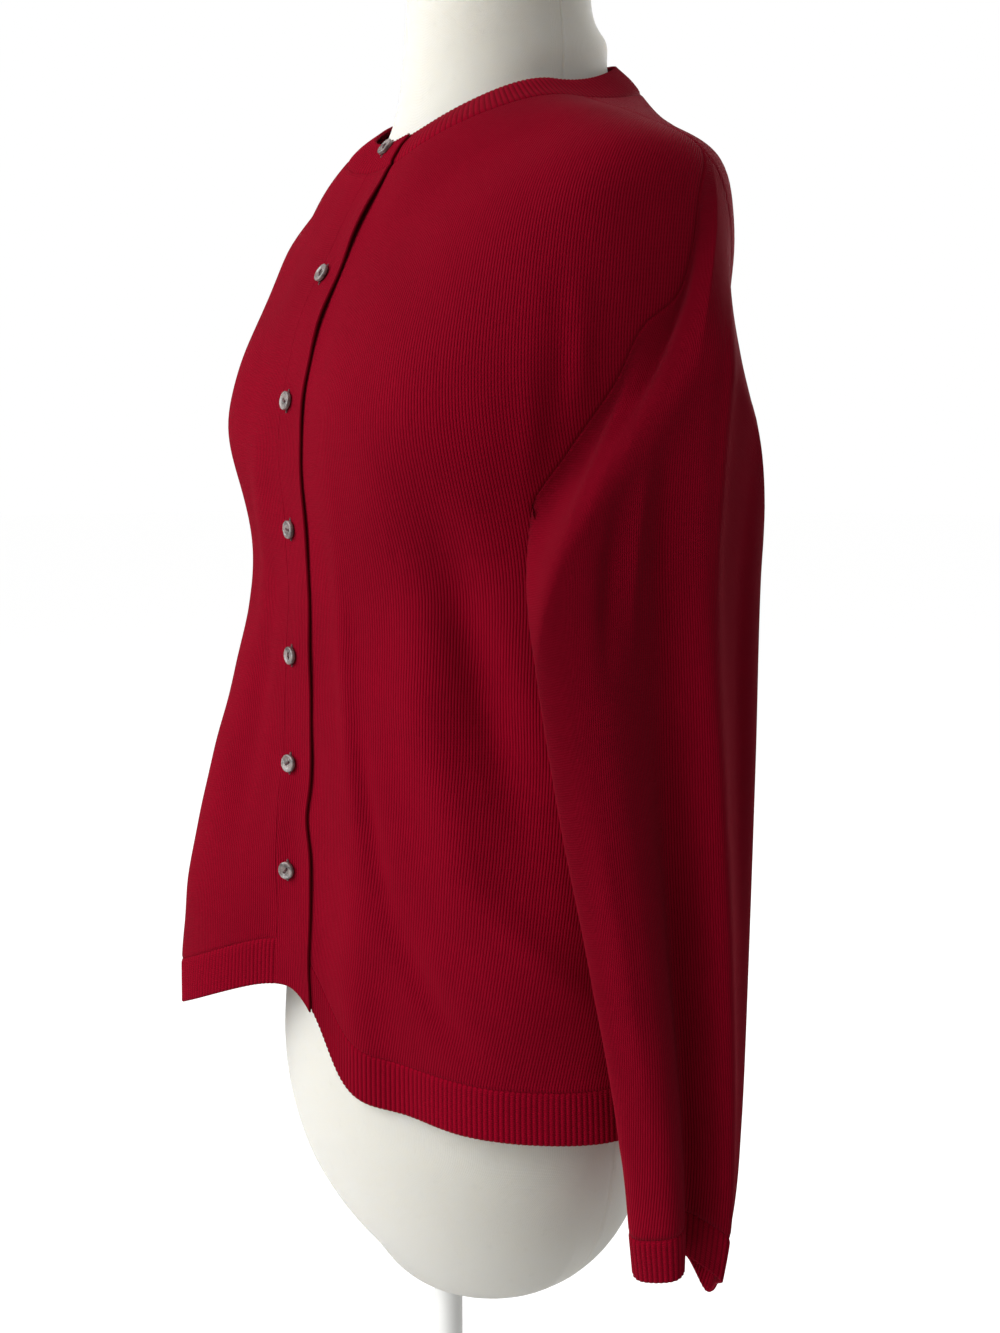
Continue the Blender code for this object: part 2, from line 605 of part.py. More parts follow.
def make_buttons(materials, collection, cutters):
    """Seven buttons on the right front, each lying on the cloth with its holes one above the other."""
    mesh = button_mesh(materials["shell button"], collection, cutters)
    rows = np.linspace(NECK_EDGE, HEM_EDGE, 600)
    for number, drop in enumerate(BUTTON_DROPS, start=1):
        angles = front_angle(BUTTON_X, rows)
        heights = body_point(angles, rows, 1)[:, 2] - NECK_POINT_Z
        row = np.interp(drop, -heights, rows)
        angle = front_angle(BUTTON_X, row)
        normal = body_normal(angle, row, 1)
        centre = body_point(angle, row, 1) + normal * BUTTON_STAND_OFF
        level = unit(np.cross((0.0, 0.0, 1.0), normal))
        upward = np.cross(normal, level)
        item = add_object(f"button_{number}", mesh, materials["shell button"], collection)
        frame = np.eye(4)
        frame[:3, 0] = upward
        frame[:3, 1] = -level
        frame[:3, 2] = normal
        frame[:3, 3] = centre
        item.matrix_world = frame.T


def make_form(materials, collection):
    """The dress form's torso with its neck, and the flat cap on the neck."""
    rows = np.concatenate(((0, 0.5), np.arange(1, len(FORM_RINGS) - 1, 1.0), (len(FORM_RINGS) - 1,)))
    angle = np.arange(FORM_COLUMNS) * 2 * math.pi / FORM_COLUMNS
    model = bmesh.new()
    rings = []
    for row in rows:
        points = ring_point(FORM, angle, np.full(FORM_COLUMNS, row))
        rings.append([model.verts.new(point) for point in points])
    for upper, lower in zip(rings[:-1], rings[1:]):
        for j in range(FORM_COLUMNS):
            k = (j + 1) % FORM_COLUMNS
            model.faces.new((upper[j], lower[j], lower[k], upper[k]))
    model.faces.new(rings[0])
    model.faces.new(list(reversed(rings[-1])))
    bmesh.ops.recalc_face_normals(model, faces=model.faces)
    mesh = bpy.data.meshes.new("form_torso")
    model.to_mesh(mesh)
    model.free()
    mesh.shade_smooth()
    mesh.set_sharp_from_angle(angle=math.radians(60))
    add_object("form_torso", mesh, materials["form jersey"], collection)
    top = FORM_RINGS[0]
    radius = top.side_x + 0.001
    profile = [
        (0, NECK_CAP_HEIGHT),
        (radius - 0.004, NECK_CAP_HEIGHT),
        (radius, NECK_CAP_HEIGHT - 0.003),
        (radius, 0.001),
        (radius - 0.001, 0),
        (0, 0),
    ]
    cap = turned("form_neck_cap", profile, 24, materials["stand enamel"], collection)
    cap.location = (0, top.side_y, NECK_POINT_Z + top.side_z + PART_GAP)


def make_stand(materials, collection):
    """The stand: a low domed round base with a socket, and the pole that carries the form."""
    base_profile = [
        (0, SOCKET_TOP_Z),
        (SOCKET_RADIUS - 0.002, SOCKET_TOP_Z),
        (SOCKET_RADIUS, SOCKET_TOP_Z - 0.002),
        (SOCKET_RADIUS, BASE_RISE + 0.004),
        (SOCKET_RADIUS + 0.006, BASE_RISE),
        (BASE_RADIUS * 0.6, BASE_RISE * 0.82),
        (BASE_RADIUS - 0.004, BASE_EDGE),
        (BASE_RADIUS, BASE_EDGE - 0.003),
        (BASE_RADIUS - 0.001, 0),
        (0, 0),
    ]
    turned("stand_base", base_profile, 48, materials["stand enamel"], collection)
    bottom = SOCKET_TOP_Z + PART_GAP
    top = NECK_POINT_Z + FORM_RINGS[-1].side_z - PART_GAP
    pole_profile = [(0, top), (POLE_RADIUS, top), (POLE_RADIUS, bottom), (0, bottom)]
    turned("stand_pole", pole_profile, 20, materials["stand enamel"], collection)


def make_materials():
    """One Principled material for each finish."""
    finishes = {}
    for name, (colour, roughness, metallic) in COLOURS.items():
        material = bpy.data.materials.new(name)
        material.use_nodes = True
        shader = material.node_tree.nodes["Principled BSDF"]
        shader.inputs["Base Color"].default_value = colour
        shader.inputs["Roughness"].default_value = roughness
        shader.inputs["Metallic"].default_value = metallic
        finishes[name] = material
    return finishes


def main():
    for item in list(bpy.data.objects):
        bpy.data.objects.remove(item)
    parts = bpy.data.collections.new("button_cardigan")
    cutters = bpy.data.collections.new("cutters")
    bpy.context.scene.collection.children.link(parts)
    bpy.context.scene.collection.children.link(cutters)
    materials = make_materials()
    make_form(materials, parts)
    make_stand(materials, parts)
    make_fronts(materials, parts)
    make_bands(materials, parts)
    make_back(materials, parts)
    make_neckband(materials, parts)
    make_sleeves(materials, parts)
    make_buttons(materials, parts, cutters)


if __name__ == "__main__":
    main()
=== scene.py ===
"""A deep red button cardigan on a limbless dress form and its stand, as Blender shows them.

Metres, +Z up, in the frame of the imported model: the origin is the middle of the stand's underside, the
wearer would face -Y and the wearer's left is +X. The cloth is built from the same tables as the solids, at a
finer step, with the small folds, ribs and seams added. Heights in the tables count from the neck point.
"""

import math
from collections import namedtuple

import bmesh
import bpy
import numpy as np
from bpy.props import FloatProperty, FloatVectorProperty, IntProperty, PointerProperty
from mathutils import Matrix, Vector


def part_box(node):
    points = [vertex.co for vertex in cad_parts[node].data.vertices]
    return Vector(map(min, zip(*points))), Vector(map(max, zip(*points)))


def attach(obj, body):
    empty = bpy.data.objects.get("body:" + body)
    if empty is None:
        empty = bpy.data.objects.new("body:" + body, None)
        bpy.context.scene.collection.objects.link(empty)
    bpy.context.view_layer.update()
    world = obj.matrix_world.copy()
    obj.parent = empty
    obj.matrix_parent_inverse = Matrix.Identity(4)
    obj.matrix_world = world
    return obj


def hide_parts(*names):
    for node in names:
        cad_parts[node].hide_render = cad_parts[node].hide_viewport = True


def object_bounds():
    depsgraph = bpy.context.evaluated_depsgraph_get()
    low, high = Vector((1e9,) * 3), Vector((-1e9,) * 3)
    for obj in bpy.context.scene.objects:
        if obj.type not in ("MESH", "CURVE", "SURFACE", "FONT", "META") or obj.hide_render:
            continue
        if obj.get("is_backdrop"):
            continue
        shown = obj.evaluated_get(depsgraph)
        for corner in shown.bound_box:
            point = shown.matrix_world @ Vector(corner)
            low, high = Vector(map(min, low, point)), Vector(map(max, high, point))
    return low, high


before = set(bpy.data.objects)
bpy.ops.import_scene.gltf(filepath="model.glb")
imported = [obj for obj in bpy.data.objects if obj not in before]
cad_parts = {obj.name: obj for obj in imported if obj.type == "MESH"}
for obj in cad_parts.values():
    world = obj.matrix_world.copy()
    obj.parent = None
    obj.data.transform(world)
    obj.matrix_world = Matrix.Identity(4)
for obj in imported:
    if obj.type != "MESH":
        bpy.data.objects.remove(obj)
CAD_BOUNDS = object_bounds()

bl_info = {
    "name": "Button cardigan",
    "version": (1, 0, 0),
    "blender": (4, 5, 0),
    "location": "3D View > Sidebar > Cardigan",
    "description": "Builds a knitted button cardigan on a dress form",
    "category": "Object",
}

# Driving sizes, the same as the solids'
NECK_POINT_Z = 1.180
KNIT_WALL = 0.0016
RIB_WALL = 0.0018
LAP_LIFT = 0.0013
LAP_REACH = (0.018, 0.050)
OVER_EDGE_X = 0.018
UNDER_EDGE_X = -0.014
BAND_WIDTH = 0.024
SLEEVE_CLEARANCE = 0.0030
CUFF_HEIGHT = 0.026
SHOULDER_SEAM_ANGLE = math.radians(5)
MIDDLE_CROWDING = 13.0
BUTTON_X = 0.001
BUTTON_DROPS = (0.044, 0.115, 0.185, 0.257, 0.330, 0.394, 0.459)
BACK_ROUND = 2.1
INNER_LAYER_SHARE = 0.15
CUFF_END_DROP = (0.659, 0.655, 0.688)

# How pieces meet: half the gap at a seam, and how deep and wide the cloth dips beside it
SEAM_HALF_GAP = 0.00006
SEAM_DIP = 0.0005
SEAM_DIP_WIDTH = 0.0012
EDGE_STEPS = np.array((0.0, 0.0005, 0.0011, 0.0019, 0.0030))
PLAIN_RIMS = (False,) * 4

# Where the over edge is drawn in between two buttons: how far, at what drop and over what height
EDGE_DIP = 0.0032
EDGE_DIP_DROP = 0.427
EDGE_DIP_REACH = 0.016

# How the over edge lifts between its buttons: how much near the neck and below it, how near a button it
# lies flat, and how wide the lifted strip is
GAPE_AT_NECK = 0.0022
GAPE_BELOW = -0.0005
BUTTON_HOLD = 0.020
GAPE_WIDTH = 0.016

# How far down a rib each of its rows lies, from 0 at its seam to 1 at its free edge, closer at both, and
# the distance from the seam in which the rib takes its full depth. RIB_MIDDLE is the share of that depth
# which lies below the cloth's own face.
HEM_RIB_SHARES = (0, 0.02, 0.045, 0.08, 0.15, 0.27, 0.40, 0.53, 0.66, 0.78, 0.88, 0.95, 1.0)
CUFF_SHARES = (0, 0.02, 0.05, 0.09, 0.16, 0.28, 0.40, 0.52, 0.64, 0.76, 0.87, 0.95, 1.0)
NECKBAND_ROWS = (0, 0.05, 0.12, 0.2, 0.3, 0.4, 0.5, 0.6, 0.7, 0.8, 0.88, 0.94, 0.975, 1.0)
SLEEVE_TOP_SHARES = (0, 0.0008, 0.002, 0.004, 0.007, 0.011)
RIB_FORMS_OVER = 0.003
RIB_MIDDLE = 0.55

# Angles at which smooth shading gives way to an edge, on hard pieces and on the form
HARD_EDGE = math.radians(40)
FORM_EDGE = math.radians(50)

# The view: its angle round from the front, its distance, turn and tilt, its place across the form and below
# the neck point, and the lens as a share of the picture's longer side
VIEW_AROUND = math.radians(59.0)
VIEW_REACH = 0.855
VIEW_YAW = math.radians(-1.5)
VIEW_TILT = math.radians(10.5)
VIEW_SHIFT_Y = 0.015
VIEW_DROP = 0.19
SENSOR_WIDTH = 36
LENS_SHARE = 1383 / 1333

# A ring of the body: where it lies at the side, at the centre front and at the centre back, how square its
# front is, and how sharply its height rises towards the centre front on either side.
Ring = namedtuple(
    "Ring",
    "name side_x side_y side_z front_y front_z back_y back_z front_round left_rise right_rise",
)

BODY_RINGS = [
    Ring("neck edge", 0.063, 0.038, -0.009, -0.031, -0.040, 0.112, 0.016, 2.4, 2, 2),
    Ring("neck seam", 0.079, 0.039, -0.020, -0.043, -0.057, 0.126, 0.000, 3.0, 2, 2),
    Ring("yoke", 0.121, 0.042, -0.036, -0.070, -0.105, 0.134, -0.036, 2.15, 2, 2),
    Ring("shoulder tip", 0.162, 0.048, -0.058, -0.086, -0.141, 0.135, -0.078, 2.0, 2, 2),
    Ring("upper armhole", 0.172, 0.050, -0.094, -0.092, -0.170, 0.136, -0.124, 2.2, 2, 2),
    Ring("middle armhole", 0.171, 0.043, -0.160, -0.096, -0.205, 0.134, -0.182, 2.3, 2, 2),
    Ring("underarm", 0.159, 0.030, -0.250, -0.098, -0.258, 0.128, -0.255, 2.2, 2, 2),
    Ring("rib cage", 0.156, 0.025, -0.320, -0.099, -0.320, 0.123, -0.320, 2.1, 3, 3),
    Ring("waist", 0.158, 0.022, -0.400, -0.100, -0.386, 0.121, -0.400, 2.0, 6, 4),
    Ring("hip", 0.167, 0.018, -0.480, -0.101, -0.450, 0.123, -0.480, 2.0, 12, 6),
    Ring("hem rib top", 0.174, 0.016, -0.556, -0.103, -0.503, 0.125, -0.556, 1.9, 20, 8),
    Ring("hem edge", 0.176, 0.016, -0.586, -0.103, -0.531, 0.125, -0.586, 1.9, 22, 8),
]
NECK_EDGE, NECK_SEAM, SHOULDER_TIP, HEM_RIB_TOP, HEM_EDGE = 0, 0.55, 3, 10, 11

# The armhole seam, read round the sleeve from the shoulder tip (0) to the underarm (180): the ring that it
# crosses, its angle on the front and on the back, and the drop in which the sleeve settles to its hang.
Armhole = namedtuple("Armhole", "around row front_angle back_angle front_settle back_settle")

ARMHOLE = [
    Armhole(0, 3.00, 5.0, 5.0, 0.120, 0.120),
    Armhole(15, 3.70, 1.0, 9.0, 0.130, 0.090),
    Armhole(30, 4.30, -0.8, 13.0, 0.120, 0.070),
    Armhole(41, 4.64, -3.0, 16.0, 0.110, 0.060),
    Armhole(50, 4.84, -9.0, 18.0, 0.110, 0.055),
    Armhole(62, 5.18, -12.5, 20.0, 0.100, 0.050),
    Armhole(76, 5.52, -18.5, 22.0, 0.090, 0.050),
    Armhole(92, 5.86, -23.5, 22.0, 0.080, 0.050),
    Armhole(130, 6.10, -15.0, 14.0, 0.060, 0.050),
    Armhole(180, 6.18, 0.0, 0.0, 0.050, 0.050),
]

# A level section of the hanging sleeve: its front and back folds in plan, and the gap between its layers.
Section = namedtuple("Section", "drop front_x front_y back_x back_y thickness")

SLEEVE_SECTIONS = [
    Section(0.080, 0.172, 0.010, 0.171, 0.094, 0.034),
    Section(0.160, 0.171, -0.023, 0.175, 0.102, 0.034),
    Section(0.220, 0.168, -0.042, 0.177, 0.099, 0.034),
    Section(0.280, 0.168, -0.048, 0.177, 0.096, 0.032),
    Section(0.380, 0.173, -0.036, 0.180, 0.094, 0.030),
    Section(0.490, 0.184, -0.018, 0.187, 0.087, 0.030),
    Section(0.580, 0.193, -0.005, 0.194, 0.079, 0.030),
    Section(0.640, 0.194, 0.003, 0.195, 0.073, 0.030),
    Section(0.700, 0.192, 0.012, 0.191, 0.058, 0.030),
]

# A fold: its place across the cloth and its width at its top and its low end, in degrees round the body or,
# on a sleeve, from -1 at the front fold to 1 at the back fold; its height above the cloth round it, at its
# top, middle and low end, below zero for a trough. It runs on below its low end as it is there.
Fold = namedtuple(
    "Fold",
    "name across_top across_low drop_top drop_low width_top width_low top middle low",
)

BODY_FOLDS = [
    Fold("right bust", -122, -122, 0.100, 0.300, 24, 24, 0.0, 0.018, 0.0),
    Fold("left bust", -56, -56, 0.100, 0.300, 26, 26, 0.0, 0.014, 0.0),
    Fold("right front flare", -124, -121, 0.230, 0.585, 21, 23, 0.0, 0.037, 0.060),
    Fold("left front ridge", -66, -60, 0.300, 0.585, 7, 8, 0.0, 0.003, 0.004),
    Fold("left front trough", -45, -16, 0.200, 0.480, 9, 13, 0.0, -0.007, -0.001),
    Fold("left hem hollow", -48, -48, 0.420, 0.585, 13, 13, 0.0, -0.003, -0.007),
]

SLEEVE_FOLDS = [
    Fold("front lobe", -0.62, -0.62, 0.180, 0.640, 0.34, 0.34, 0.0, 0.009, 0.009),
    Fold("valley", -0.05, 0.02, 0.240, 0.640, 0.20, 0.24, 0.0, -0.012, -0.014),
    Fold("back ridge", 0.20, 0.42, 0.080, 0.640, 0.20, 0.22, 0.0, 0.011, 0.009),
]

# A crease is a smaller fold that bends across the cloth: where it starts, passes and ends, each as a place
# across the cloth and a drop; its half width and its height, below zero for a trough.
Crease = namedtuple("Crease", "start_at start_drop by_at by_drop end_at end_drop width height")

BODY_CREASES = [
    Crease(-69, 0.200, -66, 0.348, -58, 0.470, 3.2, 0.0026),
    Crease(-64, 0.330, -56, 0.430, -47, 0.500, 3.0, -0.0030),
    Crease(-50, 0.240, -40, 0.380, -18, 0.545, 7.0, 0.0040),
    Crease(-47, 0.190, -31, 0.329, -14, 0.470, 5.0, -0.0048),
    Crease(-50, 0.455, -40, 0.512, -24, 0.560, 4.5, -0.0040),
    Crease(-32, 0.430, -18, 0.480, -4, 0.520, 5.0, 0.0034),
    Crease(-31, 0.140, -27, 0.190, -24, 0.250, 2.2, 0.0016),
    Crease(-26, 0.110, -23, 0.160, -20, 0.220, 2.0, -0.0016),
    Crease(-22, 0.110, -20, 0.160, -18, 0.205, 2.0, 0.0016),
    Crease(-99, 0.160, -105, 0.250, -111, 0.350, 4.5, 0.0024),
    Crease(-97, 0.250, -105, 0.362, -106, 0.520, 4.5, -0.0036),
    Crease(-90, 0.370, -93, 0.430, -96, 0.500, 4.0, 0.0026),
    Crease(-140, 0.260, -138, 0.380, -142, 0.540, 6.0, -0.0040),
    Crease(-158, 0.230, -152, 0.360, -155, 0.540, 7.0, 0.0036),
    Crease(60, 0.300, 62, 0.400, 58, 0.560, 7.0, 0.0040),
    Crease(78, 0.260, 80, 0.380, 76, 0.560, 7.0, -0.0036),
    Crease(118, 0.290, 116, 0.400, 120, 0.560, 8.0, 0.0038),
    Crease(100, 0.330, 99, 0.430, 103, 0.560, 6.0, -0.0030),
    Crease(34, 0.240, 40, 0.360, 44, 0.520, 6.0, -0.0030),
    Crease(148, 0.240, 142, 0.360, 138, 0.520, 6.0, -0.0030),
]

SLEEVE_CREASES = [
    Crease(-0.42, 0.215, -0.50, 0.270, -0.58, 0.340, 0.07, -0.0022),
    Crease(-0.28, 0.200, -0.30, 0.260, -0.36, 0.330, 0.06, 0.0022),
    Crease(-0.16, 0.190, -0.10, 0.260, -0.04, 0.340, 0.08, -0.0026),
    Crease(0.30, 0.060, 0.34, 0.200, 0.40, 0.360, 0.06, 0.0020),
    Crease(-0.85, 0.330, -0.82, 0.450, -0.80, 0.600, 0.10, 0.0018),
    Crease(0.74, 0.120, 0.72, 0.300, 0.76, 0.560, 0.10, -0.0022),
]

# A slow waviness that keeps the cloth from looking machined: waves round and down it, and their height.
Wave = namedtuple("Wave", "round_turns per_metre phase height")

CLOTH_WAVES = [
    Wave(7, 9.0, 0.4, 0.00030),
    Wave(-11, 15.0, 2.1, 0.00022),
    Wave(17, 5.0, 4.4, 0.00020),
    Wave(5, -21.0, 1.2, 0.00018),
    Wave(-23, 12.0, 5.6, 0.00013),
]

FORM_RINGS = [
    Ring("neck top", 0.052, 0.040, 0.090, -0.012, 0.090, 0.093, 0.090, 2.0, 2, 2),
    Ring("neck", 0.053, 0.040, 0.040, -0.014, 0.040, 0.095, 0.040, 2.0, 2, 2),
    Ring("neck base", 0.057, 0.040, 0.010, -0.018, -0.010, 0.106, 0.027, 2.0, 2, 2),
    Ring("under neck edge", 0.059, 0.038, -0.012, -0.027, -0.043, 0.108, 0.010, 2.2, 2, 2),
    Ring("under neck seam", 0.075, 0.039, -0.025, -0.039, -0.061, 0.121, -0.005, 2.7, 2, 2),
    Ring("yoke", 0.116, 0.042, -0.041, -0.066, -0.108, 0.129, -0.041, 2.1, 2, 2),
    Ring("shoulder tip", 0.156, 0.048, -0.063, -0.082, -0.144, 0.130, -0.082, 2.0, 2, 2),
    Ring("shoulder end", 0.163, 0.048, -0.099, -0.088, -0.172, 0.130, -0.127, 2.1, 2, 2),
    Ring("arm stump", 0.156, 0.040, -0.162, -0.092, -0.205, 0.128, -0.184, 2.2, 2, 2),
    Ring("bust", 0.142, 0.028, -0.235, -0.091, -0.245, 0.118, -0.240, 2.2, 2, 2),
    Ring("under bust", 0.126, 0.022, -0.310, -0.076, -0.310, 0.098, -0.310, 2.1, 2, 2),
    Ring("waist", 0.118, 0.018, -0.390, -0.072, -0.385, 0.086, -0.390, 2.0, 2, 2),
    Ring("upper hip", 0.132, 0.015, -0.470, -0.082, -0.460, 0.100, -0.470, 2.0, 2, 2),
    Ring("hip", 0.143, 0.012, -0.560, -0.094, -0.555, 0.110, -0.560, 2.0, 2, 2),
    Ring("seat", 0.145, 0.010, -0.612, -0.096, -0.612, 0.114, -0.612, 2.0, 2, 2),
    Ring("lower seat", 0.136, 0.012, -0.658, -0.088, -0.658, 0.116, -0.658, 2.0, 2, 2),
    Ring("underside", 0.121, 0.014, -0.694, -0.072, -0.694, 0.114, -0.694, 2.0, 2, 2),
    Ring("lower underside", 0.096, 0.014, -0.726, -0.050, -0.726, 0.098, -0.726, 2.0, 2, 2),
    Ring("bottom edge", 0.060, 0.008, -0.746, -0.036, -0.746, 0.066, -0.746, 2.0, 2, 2),
    Ring("bottom", 0.018, 0.000, -0.752, -0.018, -0.752, 0.018, -0.752, 2.0, 2, 2),
]


# Curves and rings


def columns(table):
    """A table as one array for each named column."""
    names = table[0]._fields
    return {name: np.array([getattr(row, name) for row in table]) for name in names if name != "name"}


def smooth_through(values, at):
    """The Catmull-Rom curve through evenly numbered values, read at fractional numbers."""
    values = np.asarray(values, float)
    first = 2 * values[0] - values[1]
    last = 2 * values[-1] - values[-2]
    padded = np.concatenate(([first], values, [last]))
    at = np.clip(np.asarray(at, float), 0, len(values) - 1)
    step = np.minimum(at.astype(int), len(values) - 2)
    t = at - step
    before, start, end, after = (padded[step + k] for k in range(4))
    line = 2 * start + (end - before) * t
    bend = (2 * before - 5 * start + 4 * end - after) * t**2
    twist = (3 * start - before - 3 * end + after) * t**3
    return 0.5 * (line + bend + twist)


def smooth_lookup(table, key, wanted, at):
    """A column of a table, read smoothly at a value of its key column."""
    number = np.interp(at, table[key], np.arange(len(table[key])))
    return smooth_through(table[wanted], number)


def ease(value, low, high):
    """0 below low, 1 above high, and a smooth step between."""
    t = np.clip((value - low) / (high - low), 0, 1)
    return t * t * (3 - 2 * t)


def unit(vectors):
    """The vectors at length 1."""
    return vectors / np.maximum(np.linalg.norm(vectors, axis=-1, keepdims=True), 1e-12)


def relief(folds, across, drop):
    """How far the folds lift the cloth at a place across it and a drop below the neck point."""
    total = np.zeros(np.broadcast(across, drop).shape)
    for fold in folds:
        t = np.clip((drop - fold.drop_top) / (fold.drop_low - fold.drop_top), 0, 1)
        centre = fold.across_top + (fold.across_low - fold.across_top) * t
        width = fold.width_top + (fold.width_low - fold.width_top) * t
        middle = (fold.middle - (fold.top + fold.low) / 2) * np.sin(math.pi * t) ** 2
        height = fold.top + (fold.low - fold.top) * t * t * (3 - 2 * t) + middle
        away = ((across - centre + 180) % 360 - 180) / width
        total += height * np.exp(-(away**2))
    return total


def crease_relief(creases, across, drop):
    """How far the creases lift the cloth, each fading out at both its ends."""
    total = np.zeros(np.broadcast(across, drop).shape)
    for crease in creases:
        t = np.clip((drop - crease.start_drop) / (crease.end_drop - crease.start_drop), 0, 1)
        passes = (crease.by_drop - crease.start_drop) / (crease.end_drop - crease.start_drop)
        straight = crease.start_at + (crease.end_at - crease.start_at) * passes
        bulge = (crease.by_at - straight) / (passes * (1 - passes))
        centre = crease.start_at + (crease.end_at - crease.start_at) * t + bulge * t * (1 - t)
        away = ((across - centre + 180) % 360 - 180) / crease.width
        total += crease.height * np.sin(math.pi * t) ** 2 * np.exp(-(away**2))
    return total


def waviness(turn, drop):
    """The slow waviness of the cloth at an angle round it, in radians, and a drop."""
    total = np.zeros(np.broadcast(turn, drop).shape)
    for wave in CLOTH_WAVES:
        place = wave.round_turns * turn + 2 * math.pi * wave.per_metre * drop
        total += wave.height * np.sin(place + wave.phase)
    return total


BODY = columns(BODY_RINGS)
FORM = columns(FORM_RINGS)
SLEEVE = columns(SLEEVE_SECTIONS)
SEAM = columns(ARMHOLE)


def ring_point(rings, angle, row, lift=None):
    """A point of a body of rings: angle 0 is the left side, -90 degrees the front, rows count down."""
    ring = {name: smooth_through(values, row) for name, values in rings.items()}
    across = np.cos(angle)
    ahead = -np.sin(angle)
    in_front = ahead > 0
    depth = np.where(in_front, ring["side_y"] - ring["front_y"], ring["back_y"] - ring["side_y"])
    power = np.where(in_front, ring["front_round"], BACK_ROUND)
    reach = (np.abs(across) / ring["side_x"]) ** power + (np.abs(ahead) / depth) ** power
    radius = reach ** (-1 / power)
    rise = np.where(across > 0, ring["left_rise"], ring["right_rise"])
    rise = np.where(in_front, rise, 2)
    end_z = np.where(in_front, ring["front_z"], ring["back_z"])
    height = ring["side_z"] + (end_z - ring["side_z"]) * np.abs(ahead) ** rise
    if lift is not None:
        radius = radius + lift(angle, -height)
    x = radius * across
    y = ring["side_y"] - radius * ahead
    return np.stack(np.broadcast_arrays(x, y, height + NECK_POINT_Z), axis=-1)


def cloth_lift(angle, drop):
    """All that the folds, creases and waviness add to the body's radius."""
    degrees = np.degrees(angle)
    fades = ease(drop, 0.02, 0.10)
    small = crease_relief(BODY_CREASES, degrees, drop) + waviness(angle, drop) * fades
    return relief(BODY_FOLDS, degrees, drop) + small


def front_distance(angle, row):
    """How far round the cloth a front point is from the centre front, positive to the wearer's left."""
    depth = smooth_through(BODY["side_y"] - BODY["front_y"], row)
    return (angle + math.pi / 2) * depth


def front_angle(distance, row):
    """The angle of a front point at a distance round the cloth from the centre front."""
    depth = smooth_through(BODY["side_y"] - BODY["front_y"], row)
    return -math.pi / 2 + distance / depth


def gape(distance, drop):
    """How the over edge lifts a little between its buttons."""
    between = np.full(np.shape(drop), 1.0)
    for button in BUTTON_DROPS:
        between = between * (1 - np.exp(-(((drop - button) / BUTTON_HOLD) ** 2)))
    near_edge = ease(distance, OVER_EDGE_X - GAPE_WIDTH, OVER_EDGE_X)
    lift = GAPE_AT_NECK * ease(drop, 0.05, 0.08) * (1 - ease(drop, 0.12, 0.17)) + GAPE_BELOW
    return lift * between * near_edge * ease(drop, 0.05, 0.07)


def body_point(angle, row, lap=0):
    """The outer face of the cardigan's body. lap is 1 on the overlapping front and -1 on the one under it."""
    angle, row = np.broadcast_arrays(np.asarray(angle, float), np.asarray(row, float))
    distance = front_distance(angle, row)
    lap_lift = lap * LAP_LIFT * (1 - ease(np.abs(distance), *LAP_REACH))

    def lift(turn, drop):
        extra = gape(distance, drop) if lap > 0 else 0.0
        return cloth_lift(turn, drop) + lap_lift + extra

    return ring_point(BODY, angle, row, lift)


def body_normal(angle, row, lap=0):
    """The outward unit normal of the cardigan's body."""
    turn = 0.004
    step = 0.01
    along = body_point(angle + turn, row, lap) - body_point(angle - turn, row, lap)
    down = body_point(angle, row + step, lap) - body_point(angle, row - step, lap)
    return unit(np.cross(down, along))


# The armhole and the sleeve


def armhole_angle(row, side):
    """The angle of the armhole seam where it crosses a ring, on the front (-1) or the back (1)."""
    around = np.linspace(0, 180, 1441)
    rows = smooth_lookup(SEAM, "around", "row", around)
    name = "front_angle" if side < 0 else "back_angle"
    angles = smooth_lookup(SEAM, "around", name, around)
    return np.radians(np.interp(row, rows, angles))


def sleeve_seam(around, hand):
    """Ring number and angle of the armhole seam at degrees round the left (1) or right (-1) sleeve."""
    half = np.where(around <= 180, around, 360 - around)
    row = smooth_lookup(SEAM, "around", "row", half)
    front = smooth_lookup(SEAM, "around", "front_angle", half)
    back = smooth_lookup(SEAM, "around", "back_angle", half)
    angle = np.radians(np.where(around <= 180, front, back))
    return row, angle if hand > 0 else math.pi - angle


def sleeve_hang(around, drop):
    """The hanging sleeve in plan, as the left one: round the layers by degrees, at a drop."""
    turn = np.radians(around)
    across = -np.sin(turn)
    share = (across + 1) / 2
    section = {name: smooth_lookup(SLEEVE, "drop", name, drop) for name in SLEEVE}
    spine_x = section["front_x"] + (section["back_x"] - section["front_x"]) * share
    spine_y = section["front_y"] + (section["back_y"] - section["front_y"]) * share
    outward = np.cos(turn)
    layer = INNER_LAYER_SHARE + (1 - INNER_LAYER_SHARE) * ease(outward, -0.6, 0.6)
    raised = relief(SLEEVE_FOLDS, across, drop) + crease_relief(SLEEVE_CREASES, across, drop)
    x = spine_x + raised * layer + outward * section["thickness"] / 2
    return x, spine_y


def cuff_end_drop(around):
    """How low the cuff's end hangs, round the sleeve."""
    across = -np.sin(np.radians(around))
    front, middle, back = CUFF_END_DROP
    bend = (front + back) / 2 - middle
    return middle + across * (back - front) / 2 + bend * across**2


def body_below(angle, first_row, height):
    """The body's outer face straight on below a ring, at an angle and at heights further down."""
    rows = np.linspace(0, 1, 61)[:, None] * (HEM_EDGE - first_row) + first_row
    face = body_point(np.broadcast_to(angle, rows.shape), rows)
    pairs = list(zip(height.T, face.swapaxes(0, 1)))
    x = [np.interp(-levels, -column[:, 2], column[:, 0]) for levels, column in pairs]
    y = [np.interp(-levels, -column[:, 2], column[:, 1]) for levels, column in pairs]
    return np.array(x).T, np.array(y).T


